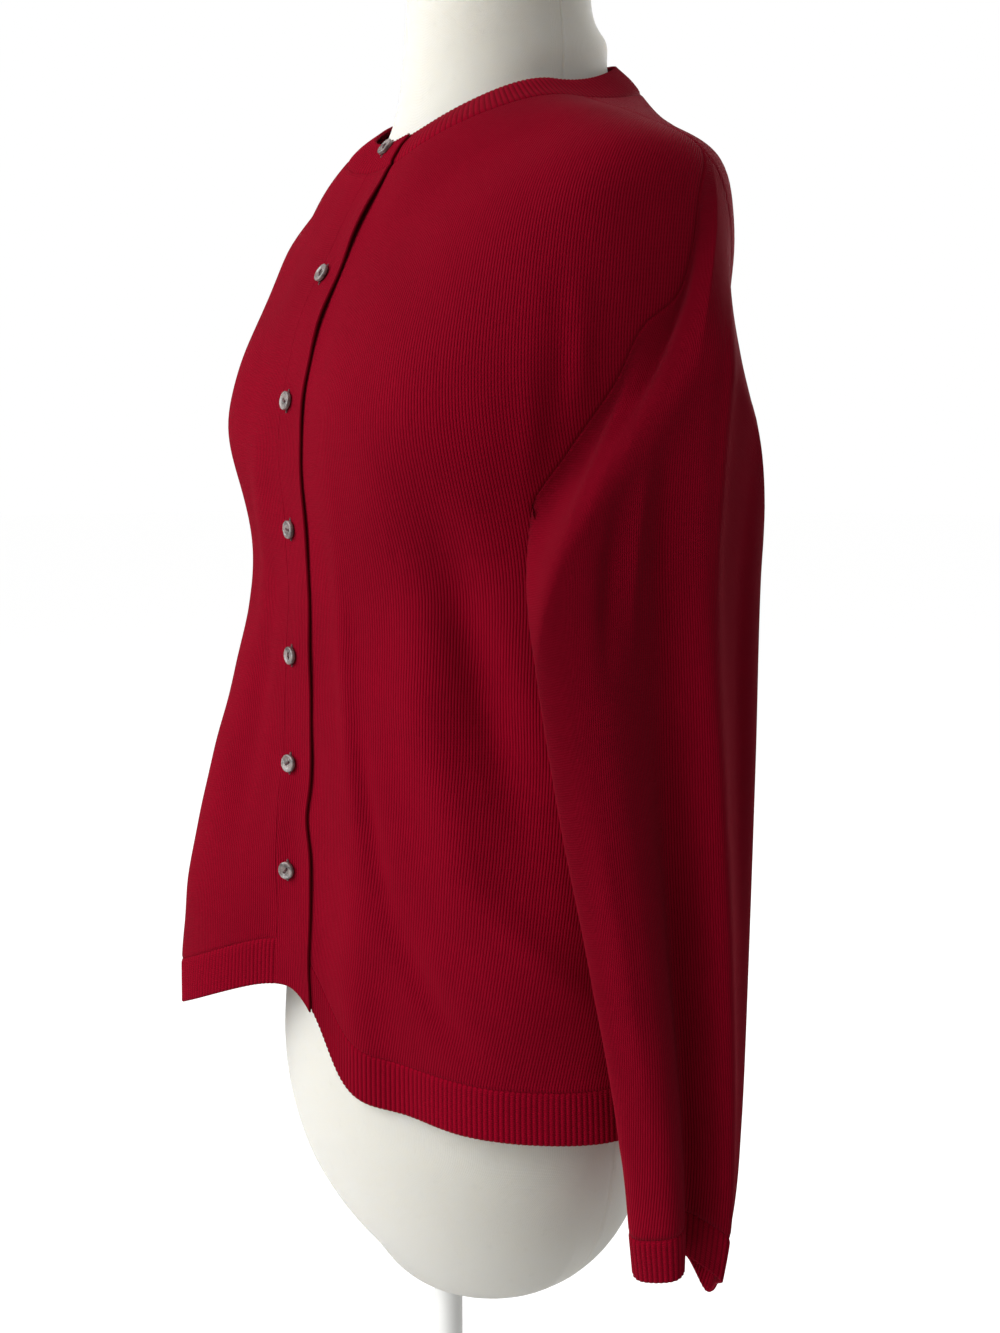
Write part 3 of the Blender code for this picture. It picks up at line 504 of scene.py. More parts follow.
class BodyFace:
    """The body's outer face as a radius for each height and direction from its middle line."""

    def __init__(self):
        self.turns = np.radians(np.arange(0, 361, 2.0))
        self.levels = NECK_POINT_Z - np.linspace(0.02, 0.62, 241)
        rows = np.linspace(1.0, HEM_EDGE, 161)[:, None]
        face = body_point(np.broadcast_to(self.turns, (161, len(self.turns))), rows)
        order = np.argsort(NECK_POINT_Z + BODY["side_z"])
        self.known_levels = (NECK_POINT_Z + BODY["side_z"])[order]
        self.known_middles = BODY["side_y"][order]
        away = face[..., 1] - self.middle(face[..., 2])
        turn = np.arctan2(away, face[..., 0])
        radius = np.hypot(face[..., 0], away)
        field = np.empty((len(self.levels), len(self.turns)))
        turns_here = np.empty_like(field)
        for j in range(len(self.turns)):
            turns_here[:, j] = np.interp(-self.levels, -face[:, j, 2], np.unwrap(turn[:, j]))
            field[:, j] = np.interp(-self.levels, -face[:, j, 2], radius[:, j])
        for i in range(len(self.levels)):
            here = np.mod(turns_here[i, :-1], 2 * math.pi)
            order = np.argsort(here)
            field[i] = np.interp(self.turns, here[order], field[i, :-1][order], period=2 * math.pi)
        self.radius = field

    def middle(self, height):
        """Where the body's middle line lies, front to back, at a height."""
        return np.interp(height, self.known_levels, self.known_middles)

    def cleared(self, points, clearance):
        """The points, moved out where they lie nearer to the body than the clearance."""
        middle = self.middle(points[..., 2])
        away = points[..., 1] - middle
        turn = np.mod(np.arctan2(away, points[..., 0]), 2 * math.pi)
        column = turn / (2 * math.pi) * (len(self.turns) - 1)
        row = np.interp(-points[..., 2], -self.levels, np.arange(len(self.levels)))
        i = np.minimum(row.astype(int), len(self.levels) - 2)
        j = np.minimum(column.astype(int), len(self.turns) - 2)
        s, t = row - i, column - j
        field = self.radius
        upper = field[i, j] * (1 - t) + field[i, j + 1] * t
        lower = field[i + 1, j] * (1 - t) + field[i + 1, j + 1] * t
        wanted = upper * (1 - s) + lower * s + clearance
        distance = np.hypot(points[..., 0], away)
        over_body = points[..., 2] > NECK_POINT_Z - 0.615
        factor = np.where(over_body & (distance < wanted), wanted / distance, 1.0)
        moved = points.copy()
        moved[..., 0] = points[..., 0] * factor
        moved[..., 1] = middle + away * factor
        return moved


def sleeve_face(hand, around, shares, body_face):
    """The outer face of a sleeve and its cuff at degrees round it and at shares down it.

    A share of 0 is the armhole, 1 the top of the cuff and 2 its end. The cloth leaves the armhole along the
    body's own face and settles to the hanging sections below."""
    row, angle = sleeve_seam(around % 360, hand)
    seam = body_point(angle, row)
    seam_normal = body_normal(angle, row)
    front_settle = smooth_lookup(SEAM, "around", "front_settle", around % 360)
    back_settle = smooth_lookup(SEAM, "around", "back_settle", 360 - around % 360)
    settle = np.where(around % 360 <= 180, front_settle, back_settle)
    end = NECK_POINT_Z - cuff_end_drop(around)
    rib_top = end + CUFF_HEIGHT
    share = shares[:, None]
    sleeve_height = seam[:, 2] + (rib_top - seam[:, 2]) * np.clip(share, 0, 1) ** 1.15
    height = sleeve_height + (end - rib_top) * np.clip(share - 1, 0, 1)
    hang_x, hang_y = sleeve_hang(around, NECK_POINT_Z - height)
    body_x, body_y = body_below(angle, row, height)
    settled = ease(seam[:, 2] - height, 0, settle)
    x = body_x + (hang_x * hand - body_x) * settled
    y = body_y + (hang_y - body_y) * settled
    grid = np.stack((x, y, height), axis=-1)
    fallen = (seam[:, 2] - height) / settle
    clearance = SEAM_HALF_GAP + (SLEEVE_CLEARANCE - SEAM_HALF_GAP) * ease(fallen, 0, 0.4)
    grid = body_face.cleared(grid, clearance)
    near_seam = (1 - ease(seam[:, 2] - height, 0, 0.012))[..., None]
    grid = grid + seam_normal * SEAM_HALF_GAP * near_seam
    return grid, seam_normal


def grid_normals(grid, wraps):
    """Unit normals of a grid, from its own rows and columns."""
    if wraps:
        around = np.roll(grid[:, :-1], -1, axis=1) - np.roll(grid[:, :-1], 1, axis=1)
        around = np.concatenate((around, around[:, :1]), axis=1)
    else:
        around = np.gradient(grid, axis=1)
    return unit(np.cross(np.gradient(grid, axis=0), around))


def run_lengths(grid, axis):
    """How far each point of a grid lies along its row (axis 1) or its column (axis 0)."""
    steps = np.linalg.norm(np.diff(grid, axis=axis), axis=-1)
    pad = [(1, 0), (0, 0)] if axis == 0 else [(0, 0), (1, 0)]
    return np.pad(np.cumsum(steps, axis=axis), pad)


# Objects and meshes


def placed(name, data):
    """An object of some data, put in the scene."""
    item = bpy.data.objects.new(name, data)
    bpy.context.scene.collection.objects.link(item)
    return item


def model_mesh(model, name):
    """A mesh from a finished bmesh, which is then freed."""
    mesh = bpy.data.meshes.new(name)
    model.to_mesh(mesh)
    model.free()
    return mesh


def evaluated(item):
    """An object's mesh as its modifiers or its bevel make it."""
    bpy.context.view_layer.update()
    return bpy.data.meshes.new_from_object(item.evaluated_get(bpy.context.evaluated_depsgraph_get()))


def add_piece(name, mesh, material, slot, *nodes):
    """A mesh as a piece of the model: it rides on the one body and stands for its CAD nodes."""
    mesh.name = name
    mesh.materials.clear()
    mesh.materials.append(material)
    piece = placed(name, mesh)
    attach(piece, "root")
    if nodes:
        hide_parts(*nodes)
    return piece


# Walls of cloth


def quad_mesh(points, quads, corner_uvs):
    """A smooth mesh from arrays of points, of four-cornered faces and of a place for each corner."""
    mesh = bpy.data.meshes.new("quads")
    mesh.vertices.add(len(points))
    mesh.vertices.foreach_set("co", np.ascontiguousarray(points, np.float32).ravel())
    mesh.loops.add(quads.size)
    mesh.loops.foreach_set("vertex_index", np.ascontiguousarray(quads, np.int32).ravel())
    mesh.polygons.add(len(quads))
    mesh.polygons.foreach_set("loop_start", np.arange(0, quads.size, 4, dtype=np.int32))
    layer = mesh.uv_layers.new(name="cloth")
    layer.data.foreach_set("uv", np.ascontiguousarray(corner_uvs, np.float32).ravel())
    mesh.update(calc_edges=True)
    mesh.validate()
    mesh.shade_smooth()
    return mesh


def cloth_wall(outer, normals, thickness, uv, wraps=False, round_edges=(True, True, True, True)):
    """A closed wall of cloth below a grid of its outer face, with rounded or plain rims.

    The last column of a grid that wraps lies on its first. round_edges is for the top, the bottom, the
    first column and the last column. uv is the place of each grid point on the flat cloth, in metres."""
    rows, count = outer.shape[:2]
    inner = outer - normals * thickness
    number = np.arange(rows * count).reshape(rows, count)
    right, down = number[:, 1:], number[1:]
    top, bottom, first, last = number[0], number[-1], number[:, 0], number[:, -1]
    quads = np.stack((number[:-1, :-1], down[:, :-1], right[1:], right[:-1]), axis=-1).reshape(-1, 4)
    step_up = np.zeros_like(outer)
    up, low, left, far = round_edges
    step_up[0] += unit(outer[0] - outer[1]) * up
    step_up[-1] += unit(outer[-1] - outer[-2]) * low
    if wraps:
        loops = [top, bottom[::-1]]
    else:
        step_up[:, 0] += unit(outer[:, 0] - outer[:, 1]) * left
        step_up[:, -1] += unit(outer[:, -1] - outer[:, -2]) * far
        loops = [np.concatenate((top[:-1], last[:-1], bottom[::-1][:-1], first[::-1]))]
    length = np.linalg.norm(step_up, axis=-1, keepdims=True)
    rim = (outer + inner) / 2 + step_up / np.maximum(length, 1) * thickness * 0.42
    total = rows * count
    faces = [quads, (quads + total)[:, ::-1]]
    for loop in loops:
        p, q = loop[:-1], loop[1:]
        faces.append(np.stack((p, q, q + 2 * total, p + 2 * total), axis=-1))
        faces.append(np.stack((p + 2 * total, q + 2 * total, q + total, p + total), axis=-1))
    faces = np.concatenate(faces)
    points = np.concatenate((outer.reshape(-1, 3), inner.reshape(-1, 3), rim.reshape(-1, 3)))
    places = np.tile(uv.reshape(-1, 2), (3, 1))
    corner_uvs = places[faces.ravel()]
    if wraps:
        same = np.arange(3 * total)
        for layer in range(3):
            same[last + layer * total] = first + layer * total
        faces = same[faces]
    i, j = rows // 2, count // 2
    across = outer[i, j + 1] - outer[i, j]
    lower = outer[i + 1, j] - outer[i, j]
    if np.dot(np.cross(lower, across), normals[i, j]) < 0:
        faces = faces[:, ::-1]
        corner_uvs = corner_uvs.reshape(-1, 4, 2)[:, ::-1].reshape(-1, 2)
    used, faces = np.unique(faces, return_inverse=True)
    return quad_mesh(points[used], faces.reshape(-1, 4), corner_uvs)


def edge_shares(width, count):
    """Places across a panel from 0 to 1 for each row: even, but closer together beside both edges."""
    near = EDGE_STEPS[None, :] / width[:, None]
    even = np.linspace(0, 1, count + 1)[None, 1:-1]
    inset = near[:, -1:] + 0.001 / width[:, None]
    middle = inset + (1 - 2 * inset) * even
    return np.concatenate((near, middle, 1 - near[:, ::-1]), axis=1)


def seam_dip(outer, normals, top, bottom, left, right):
    """The face dipped along the chosen edges, where it is turned in to its seam."""
    along = run_lengths(outer, 1)
    down = run_lengths(outer, 0)
    depth = np.zeros(outer.shape[:2])
    for wanted, distance in (
        (left, along),
        (right, along[:, -1:] - along),
        (top, down),
        (bottom, down[-1:] - down),
    ):
        if wanted:
            depth = np.maximum(depth, np.exp(-((distance / SEAM_DIP_WIDTH) ** 2)))
    return outer - normals * (depth * SEAM_DIP)[..., None]


def drawn_in(grid, top=True, bottom=True, left=True, right=True):
    """The grid with its chosen edges moved half a seam gap towards the middle of the panel."""
    grid = grid.copy()
    if top:
        grid[0] += unit(grid[1] - grid[0]) * SEAM_HALF_GAP
    if bottom:
        grid[-1] += unit(grid[-2] - grid[-1]) * SEAM_HALF_GAP
    if left:
        grid[:, 0] += unit(grid[:, 1] - grid[:, 0]) * SEAM_HALF_GAP
    if right:
        grid[:, -1] += unit(grid[:, -2] - grid[:, -1]) * SEAM_HALF_GAP
    return grid


def body_panel(rows, first_angle, last_angle, count, lap=0):
    """The outer face and normals of a body piece between two edges, given as an angle for each row."""
    even = np.linspace(0, 1, 25)
    angle = first_angle[:, None] + (last_angle - first_angle)[:, None] * even
    width = run_lengths(body_point(angle, rows[:, None], lap), 1)[:, -1]
    share = edge_shares(width, count)
    angle = first_angle[:, None] + (last_angle - first_angle)[:, None] * share
    row = np.broadcast_to(rows[:, None], angle.shape)
    return body_point(angle, row, lap), body_normal(angle, row, lap)


def cloth_places(grid, middle=False):
    """Where each point of a grid lies on the flat cloth: along its row, and up from its lower edge."""
    along = run_lengths(grid, 1)
    if middle:
        along = along - along[:, -1:] / 2
    down = run_lengths(grid, 0)
    return np.stack((along, down[-1:] - down), axis=-1)


def panel_rows():
    """Ring numbers of a front's or the back's rows, from the neck seam to the top of the hem rib."""
    around = np.concatenate((np.linspace(0, 120, 46), np.linspace(120, 180, 7)[1:]))
    armhole_rows = smooth_lookup(SEAM, "around", "row", around)
    yoke = np.concatenate(((1.0, 1.01, 1.022, 1.04, 1.06), np.linspace(1.09, SHOULDER_TIP, 28)[:-1]))
    below = np.linspace(armhole_rows[-1], HEM_RIB_TOP, 84)[1:-1]
    return np.concatenate((yoke, armhole_rows, below, (9.965, 9.98, 9.99, 10.0)))


def side_angle(rows, side):
    """The outer edge of a front (-1) or of the back's left half (1): shoulder, armhole, side seam."""
    armhole = armhole_angle(rows, side)
    return np.where(rows < SHOULDER_TIP, SHOULDER_SEAM_ANGLE, np.where(rows < SEAM["row"][-1], armhole, 0.0))


def rib(distance, pitch):
    """The height of one-by-one rib, from 0 in its furrows to 1 on its rounded wales."""
    return np.abs(np.cos(math.pi * distance / pitch)) ** 0.75


def rib_lift(places, knit):
    """How far a rib's wales stand out, from nothing at its upper seam to their full depth."""
    formed = ease(places[:1, :, 1] - places[..., 1], 0.0, RIB_FORMS_OVER)
    return (rib(places[..., 0], knit.rib_pitch) - RIB_MIDDLE) * knit.rib_depth * formed


# Finishes


class Value:
    """A socket of a material that takes part in sums, products and the like."""

    def __init__(self, finish, socket):
        self.finish = finish
        self.socket = socket

    def math(self, operation, *operands):
        return self.finish.node("ShaderNodeMath", {"operation": operation}, dict(enumerate(operands)))

    def __add__(self, other):
        return self.math("ADD", self, other)

    def __radd__(self, other):
        return self.math("ADD", other, self)

    def __sub__(self, other):
        return self.math("SUBTRACT", self, other)

    def __rsub__(self, other):
        return self.math("SUBTRACT", other, self)

    def __mul__(self, other):
        return self.math("MULTIPLY", self, other)

    def __rmul__(self, other):
        return self.math("MULTIPLY", other, self)

    def __truediv__(self, other):
        return self.math("DIVIDE", self, other)

    def __pow__(self, other):
        return self.math("POWER", self, other)

    def __abs__(self):
        return self.math("ABSOLUTE", self)

    def fraction(self):
        return self.math("FRACT", self)

    def cosine(self):
        return self.math("COSINE", self)


class Finish:
    """A material of one Principled shader, and the nodes that vary it."""

    def __init__(self, name, **constants):
        self.material = bpy.data.materials.new(name)
        self.material.use_nodes = True
        self.tree = self.material.node_tree
        self.shader = self.tree.nodes["Principled BSDF"]
        for key, value in constants.items():
            self.shader.inputs[key.replace("_", " ")].default_value = value

    def node(self, kind, settings=None, inputs=None, output=0):
        """A node of a type, its settings made first and then its sockets; gives one of its outputs."""
        made = self.tree.nodes.new(kind)
        for key, value in (settings or {}).items():
            setattr(made, key, value)
        for key, value in (inputs or {}).items():
            if isinstance(value, Value):
                self.tree.links.new(value.socket, made.inputs[key])
            else:
                made.inputs[key].default_value = value
        return Value(self, made.outputs[output])

    def feed(self, name, value):
        """A value led to a socket of the shader."""
        self.tree.links.new(value.socket, self.shader.inputs[name])

    def mix(self, factor, first, second):
        """A colour between two, by a factor."""
        settings = {"data_type": "RGBA"}
        return self.node("ShaderNodeMix", settings, {0: factor, 6: first, 7: second}, output=2)

    def noise(self, place, scale, detail=3.0, roughness=0.5):
        """Fractal noise from 0 to 1 at a place."""
        inputs = {"Vector": place, "Scale": scale, "Detail": detail, "Roughness": roughness}
        return self.node("ShaderNodeTexNoise", {}, inputs)

    def between(self, value, low, high):
        """The value as 0 at low and 1 at high, eased and kept within them."""
        settings = {"interpolation_type": "SMOOTHSTEP"}
        return self.node("ShaderNodeMapRange", settings, {0: value, 1: low, 2: high})

    def bump(self, height, distance, strength=1.0, under=None):
        """A normal from a height in metres times distance."""
        inputs = {"Strength": strength, "Distance": distance, "Height": height}
        if under is not None:
            inputs["Normal"] = under
        return self.node("ShaderNodeBump", {}, inputs)

    def object_place(self):
        return self.node("ShaderNodeTexCoord", output="Object")

    def cloth_place(self):
        """The two coordinates of a point on the flat cloth, in metres."""
        place = self.node("ShaderNodeUVMap", {"uv_map": "cloth"})
        across = self.node("ShaderNodeSeparateXYZ", {}, {0: place}, output=0)
        down = self.node("ShaderNodeSeparateXYZ", {}, {0: place}, output=1)
        return place, across, down


def shade(colour, factor):
    """A colour made darker or lighter."""
    return tuple(min(1.0, channel * factor) for channel in colour[:3]) + (1.0,)


def knit_finish(name, colour, settings, furrow_shade=0.55):
    """Fine plain knit: columns of slanting stitches, with a soft bloom, uneven dye and painted shade
    darkening the furrows between the stitches.
    """
    finish = Finish(name, Sheen_Weight=settings.sheen, Sheen_Roughness=0.35, Specular_IOR_Level=0.03)
    finish.shader.inputs["Sheen Tint"].default_value = (1.0, 0.30, 0.38, 1.0)
    place, across, down = finish.cloth_place()
    solid = finish.object_place()
    drift = finish.noise(place, 90.0, 2.0)
    wale = across / settings.wale_pitch + (drift - 0.5) * 0.22
    from_middle = abs(wale.fraction() - 0.5) * 2
    stitch = (down / settings.course_pitch + from_middle * 0.55 + (drift - 0.5) * 0.3) * (2 * math.pi)
    loops = stitch.cosine() * 0.5 + 0.5
    body = 1 - from_middle * from_middle * from_middle
    height = body * (0.72 + loops * 0.28)
    fibre = finish.noise(place, 2600.0, 2.0, 0.7)
    height = height + (fibre - 0.5) * 0.22
    finish.feed("Normal", finish.bump(height, settings.knit_depth))
    tone = finish.noise(solid, 7.0, 3.0)
    fleck = finish.noise(solid, 60.0, 3.0, 0.6)
    lit = finish.mix(finish.between(tone, 0.3, 0.7), shade(colour, 0.93), shade(colour, 1.08))
    lit = finish.mix(finish.between(fleck, 0.35, 0.75) * 0.30, lit, shade(colour, 0.86))
    # Painted shade: where the stitch height is low, between the stitches, the colour darkens by the furrow
    # share.
    finish.feed("Base Color", finish.mix(finish.between(height, 0.05, 0.75), shade(colour, furrow_shade), lit))
    finish.feed("Roughness", 0.78 + fibre * 0.16)
    return finish.material


def rib_finish(name, colour, settings):
    """The stitches of the rib, whose wales and furrows are in the mesh, with painted shade darkening the
    furrows.
    """
    finish = Finish(name, Sheen_Weight=settings.sheen, Sheen_Roughness=0.35, Specular_IOR_Level=0.03)
    finish.shader.inputs["Sheen Tint"].default_value = (1.0, 0.30, 0.38, 1.0)
    place, across, down = finish.cloth_place()
    ridge = abs((across / settings.rib_pitch * math.pi).cosine())
    stitch = (down / settings.course_pitch + (1 - ridge) * 0.5) * (2 * math.pi)
    loops = stitch.cosine() * 0.5 + 0.5
    fibre = finish.noise(place, 2600.0, 2.0, 0.7)
    finish.feed("Normal", finish.bump(loops * 0.6 + fibre * 0.4, settings.knit_depth * 0.6))
    tone = finish.noise(finish.object_place(), 9.0, 3.0)
    lit = finish.mix(finish.between(tone, 0.3, 0.7), shade(colour, 0.92), shade(colour, 1.06))
    lit = finish.mix(loops * 0.18, lit, shade(colour, 0.7))
    # Painted shade: the colour darkens in the furrows between the wales.
    finish.feed("Base Color", finish.mix(finish.between(ridge, 0.10, 0.70), shade(colour, 0.55), lit))
    finish.feed("Roughness", 0.80 + fibre * 0.15)
    return finish.material


def thread_finish(name, colour):
    """Twisted sewing thread, with painted shade in the grooves of its twist and painted light on its crests.
    """
    finish = Finish(name, Sheen_Weight=0.3)
    place = finish.object_place()
    inputs = {"Vector": place, "Scale": 900.0}
    twist = finish.node("ShaderNodeTexWave", {"bands_direction": "DIAGONAL"}, inputs)
    fibre = finish.noise(place, 3000.0, 2.0)
    # Painted shade and light: darker in the twist's grooves, lighter on its crests, following the bump.
    finish.feed("Base Color", finish.mix(twist, shade(colour, 0.6), shade(colour, 1.1)))
    finish.feed("Normal", finish.bump(twist, 0.0002))
    finish.feed("Roughness", 0.65 + fibre * 0.2)
    return finish.material


def shell_finish(settings):
    """Grey mother-of-pearl: clouded layers under a polished face."""
    finish = Finish("grey_shell", Coat_Weight=0.25, Coat_Roughness=0.15, Specular_IOR_Level=0.4)
    place = finish.object_place()
    cloud = finish.noise(place, 190.0, 4.0, 0.6)
    inputs = {"Vector": place, "Scale": 60.0, "Distortion": 9.0, "Detail": 3.0}
    layers = finish.node("ShaderNodeTexWave", {"wave_type": "RINGS"}, inputs)
    speck = finish.between(finish.noise(place, 620.0, 2.0), 0.58, 0.70)
    dark, light = shade(settings.dark, 1.0), shade(settings.light, 1.0)
    pearl = finish.mix(finish.between(cloud, 0.35, 0.68), dark, light)
    hue = finish.mix(layers * 0.45, pearl, (0.30, 0.22, 0.20, 1.0))
    finish.feed("Base Color", finish.mix(speck * 0.4, hue, (0.42, 0.45, 0.46, 1.0)))
    finish.feed("Roughness", 0.18 + cloud * 0.14)
    finish.feed("Normal", finish.bump(layers, 0.00004))
    return finish.material


def jersey_finish(settings):
    """The form's cream jersey cover, drawn tight: fine wales and a few slubs, with painted shade darkening
    the hollows between the stitches.
    """
    finish = Finish(
        "cream_jersey",
        Sheen_Weight=0.15,
        Specular_IOR_Level=0.25,
        Subsurface_Weight=1.0,
        Subsurface_Radius=(1.0, 0.9, 0.75),
        Subsurface_Scale=0.045,
    )
    place, across, down = finish.cloth_place()
    solid = finish.object_place()
    drift = finish.noise(place, 60.0, 2.0)
    wale = (across / settings.jersey_pitch + (drift - 0.5) * 0.5).fraction()
    rounded = 1 - abs(wale - 0.5) * 2
    course = ((down / settings.jersey_pitch * 1.3 + rounded * 0.4) * (2 * math.pi)).cosine() * 0.5 + 0.5
    height = rounded * 0.7 + course * 0.3
    finish.feed("Normal", finish.bump(height, 0.00022, 0.8))
    tone = finish.noise(solid, 5.0, 3.0)
    slub = finish.between(finish.noise(solid, 140.0, 3.0), 0.60, 0.78)
    dull, clear = shade(settings.cover, 0.955), shade(settings.cover, 1.0)
    base = finish.mix(finish.between(tone, 0.3, 0.7), dull, clear)
    base = finish.mix(slub * 0.25, base, shade(settings.cover, 0.82))
    # Painted shade: the colour darkens where the stitch height is low.
    finish.feed("Base Color", finish.mix(height * 0.35 + 0.65, shade(settings.cover, 0.80), base))
    finish.feed("Roughness", 0.82 + drift * 0.12)
    return finish.material


def enamel_finish(name, colour):
    """Off-white stoved enamel with a slight orange-peel and dulled patches."""
    finish = Finish(name, Coat_Weight=0.25, Coat_Roughness=0.25)
    place = finish.object_place()
    peel = finish.noise(place, 260.0, 2.0)
    dull = finish.noise(place, 14.0, 4.0)
    finish.feed("Normal", finish.bump(peel, 0.00006))
    finish.feed("Base Color", finish.mix(finish.between(dull, 0.35, 0.8), colour, shade(colour, 0.93)))
    finish.feed("Roughness", 0.30 + dull * 0.15)
    return finish.material


def studio_finish(name, colour, glow):
    """Matt white paint under lamps of its own, a little uneven."""
    finish = Finish(name, Specular_IOR_Level=0.1, Roughness=0.9, Emission_Strength=glow)
    cloud = finish.noise(finish.object_place(), 0.7, 2.0)
    finish.feed("Base Color", finish.mix(cloud * 0.2, colour, shade(colour, 0.97)))
    finish.shader.inputs["Emission Color"].default_value = (1.0, 1.0, 1.0, 1.0)
    return finish.material


def finish_named(name, maker, *facts):
    """A material made once and then shared."""
    return bpy.data.materials.get(name) or maker(*facts)


def plain_knit(knit):
    return finish_named("plain_knit", knit_finish, "plain_knit", knit.colour, knit)


def ribbed_knit(knit):
    return finish_named("ribbed_knit", rib_finish, "ribbed_knit", knit.colour, knit)


def white_enamel(form):
    return finish_named("white_enamel", enamel_finish, "white_enamel", tuple(form.enamel))


# What a user would change


def length_of(name, description, default):
    """A length in metres."""
    return FloatProperty(name=name, description=description, default=default, unit="LENGTH")


def power_of(name, description, default):
    """A lamp's power in watts."""
    return FloatProperty(name=name, description=description, default=default, unit="POWER")


def colour_of(name, description, red, green, blue):
    """An opaque colour."""
    shown = (red, green, blue, 1.0)
    return FloatVectorProperty(name=name, description=description, subtype="COLOR", size=4, default=shown)


class KnitSettings(bpy.types.PropertyGroup):
    colour: colour_of("Colour", "Dyed yarn", 0.222, 0.0006, 0.0112)
    wale_pitch: length_of("Wale", "Width of a column of stitches", 0.0017)
    course_pitch: length_of("Course", "Height of a row of stitches", 0.0013)
    rib_pitch: length_of("Rib", "Width of a raised wale and its furrow", 0.0031)
    rib_depth: length_of("Rib depth", "Depth of the rib's furrows", 0.0006)
    knit_depth: length_of("Stitch depth", "Depth between the stitches", 0.0005)
    sheen: FloatProperty(
        name="Bloom", description="Sheen of the yarn's loose fibres", default=0.035, min=0, max=1
    )


class ButtonSettings(bpy.types.PropertyGroup):
    radius: length_of("Radius", "Half the button's width", 0.0053)
    thickness: length_of("Thickness", "Height of the rim", 0.0024)
    hole_radius: length_of("Hole", "Half a thread hole's width", 0.00085)
    hole_spacing: length_of("Spacing", "Between the two holes", 0.0030)
    stand_off: length_of("Shank", "Gap under the button", 0.0006)
    dark: colour_of("Dark", "Dark clouds", 0.075, 0.062, 0.060)
    light: colour_of("Light", "Light clouds", 0.25, 0.225, 0.22)


class FormSettings(bpy.types.PropertyGroup):
    cover: colour_of("Cover", "Jersey cover", 0.66, 0.645, 0.585)
    jersey_pitch: length_of("Jersey wale", "Width of a column of stitches", 0.0011)
    enamel: colour_of("Enamel", "Stand paint", 0.78, 0.78, 0.76)
    pole_radius: length_of("Pole", "Half the pole's width", 0.0095)
    base_radius: length_of("Base", "Half the base's width", 0.160)


class StageSettings(bpy.types.PropertyGroup):
    floor: colour_of("Floor", "Floor paint", 0.26, 0.26, 0.26)
    key_power: power_of("Window", "Power of the large soft light", 76.0)
    fill_power: power_of("Fill", "Power of the light above", 14.0)
    back_power: power_of("Back", "Power of the light behind", 55.0)
    bounce_power: power_of("Bounce", "Power of the light off the floor", 4.0)
    room_light: FloatProperty(name="Room", description="Strength of the even light", default=0.34, min=0)
    floor_reach: IntProperty(
        name="Floor reach", description="Half the floor's width", default=14, subtype="DISTANCE"
    )


# Pieces


class CARDIGAN_OT_fronts(bpy.types.Operator):
    """Make the right front, which laps over, and the left front"""

    bl_idname = "cardigan.fronts"
    bl_label = "Fronts"

    def execute(self, context):
        knit = context.scene.cardigan_knit
        material = plain_knit(knit)
        rows = panel_rows()
        for hand, edge_x, lap in (("right", OVER_EDGE_X, 1), ("left", UNDER_EDGE_X, -1)):
            start = front_angle(edge_x - lap * BAND_WIDTH, rows)
            side = side_angle(rows, -1)
            outer_edge = side if lap < 0 else -math.pi - side
            grid, normals = body_panel(rows, start, outer_edge, 62, lap)
            grid = drawn_in(seam_dip(grid, normals, True, True, False, True))
            places = cloth_places(grid)
            places[..., 1] = places[:, :1, 1]
            wall = cloth_wall(grid, normals, KNIT_WALL, places, round_edges=PLAIN_RIMS)
            piece = add_piece(f"knit_front_{hand}", wall, material, "cardigan_knit", f"front_{hand}")
        return {"FINISHED"}


class CARDIGAN_OT_back(bpy.types.Operator):
    """Make the back"""

    bl_idname = "cardigan.back"
    bl_label = "Back"

    def execute(self, context):
        knit = context.scene.cardigan_knit
        material = plain_knit(knit)
        rows = panel_rows()
        side = side_angle(rows, 1)
        grid, normals = body_panel(rows, side, math.pi - side, 112)
        grid = drawn_in(seam_dip(grid, normals, True, True, True, True))
        wall = cloth_wall(grid, normals, KNIT_WALL, cloth_places(grid, middle=True), round_edges=PLAIN_RIMS)
        piece = add_piece("knit_back", wall, material, "cardigan_knit", "back")
        return {"FINISHED"}


class CARDIGAN_OT_bands(bpy.types.Operator):
    """Make the plain strip along each front edge, from the neck seam through the hem"""

    bl_idname = "cardigan.bands"
    bl_label = "Front bands"

    def execute(self, context):
        knit = context.scene.cardigan_knit
        material = plain_knit(knit)
        rows = np.concatenate((panel_rows(), np.linspace(HEM_RIB_TOP, HEM_EDGE, 22)[1:]))
        for name, edge_x, lap in (("right", OVER_EDGE_X, 1), ("left", UNDER_EDGE_X, -1)):
            drop = NECK_POINT_Z - body_point(front_angle(edge_x, rows), rows)[:, 2]
            dip = EDGE_DIP * np.exp(-(((drop - EDGE_DIP_DROP) / EDGE_DIP_REACH) ** 2)) if lap > 0 else 0.0
            edge = front_angle(edge_x - dip, rows)
            seam = front_angle(edge_x - lap * BAND_WIDTH, rows)
            grid, normals = body_panel(rows, edge, seam, 14, lap)
            grid = seam_dip(grid, normals, True, False, False, False)
            grid = drawn_in(grid, bottom=False, left=False)
            rims = (False, True, True, False)
            wall = cloth_wall(grid, normals, KNIT_WALL, cloth_places(grid), round_edges=rims)
            piece = add_piece(f"knit_band_{name}", wall, material, "cardigan_knit", f"front_band_{name}")
        return {"FINISHED"}


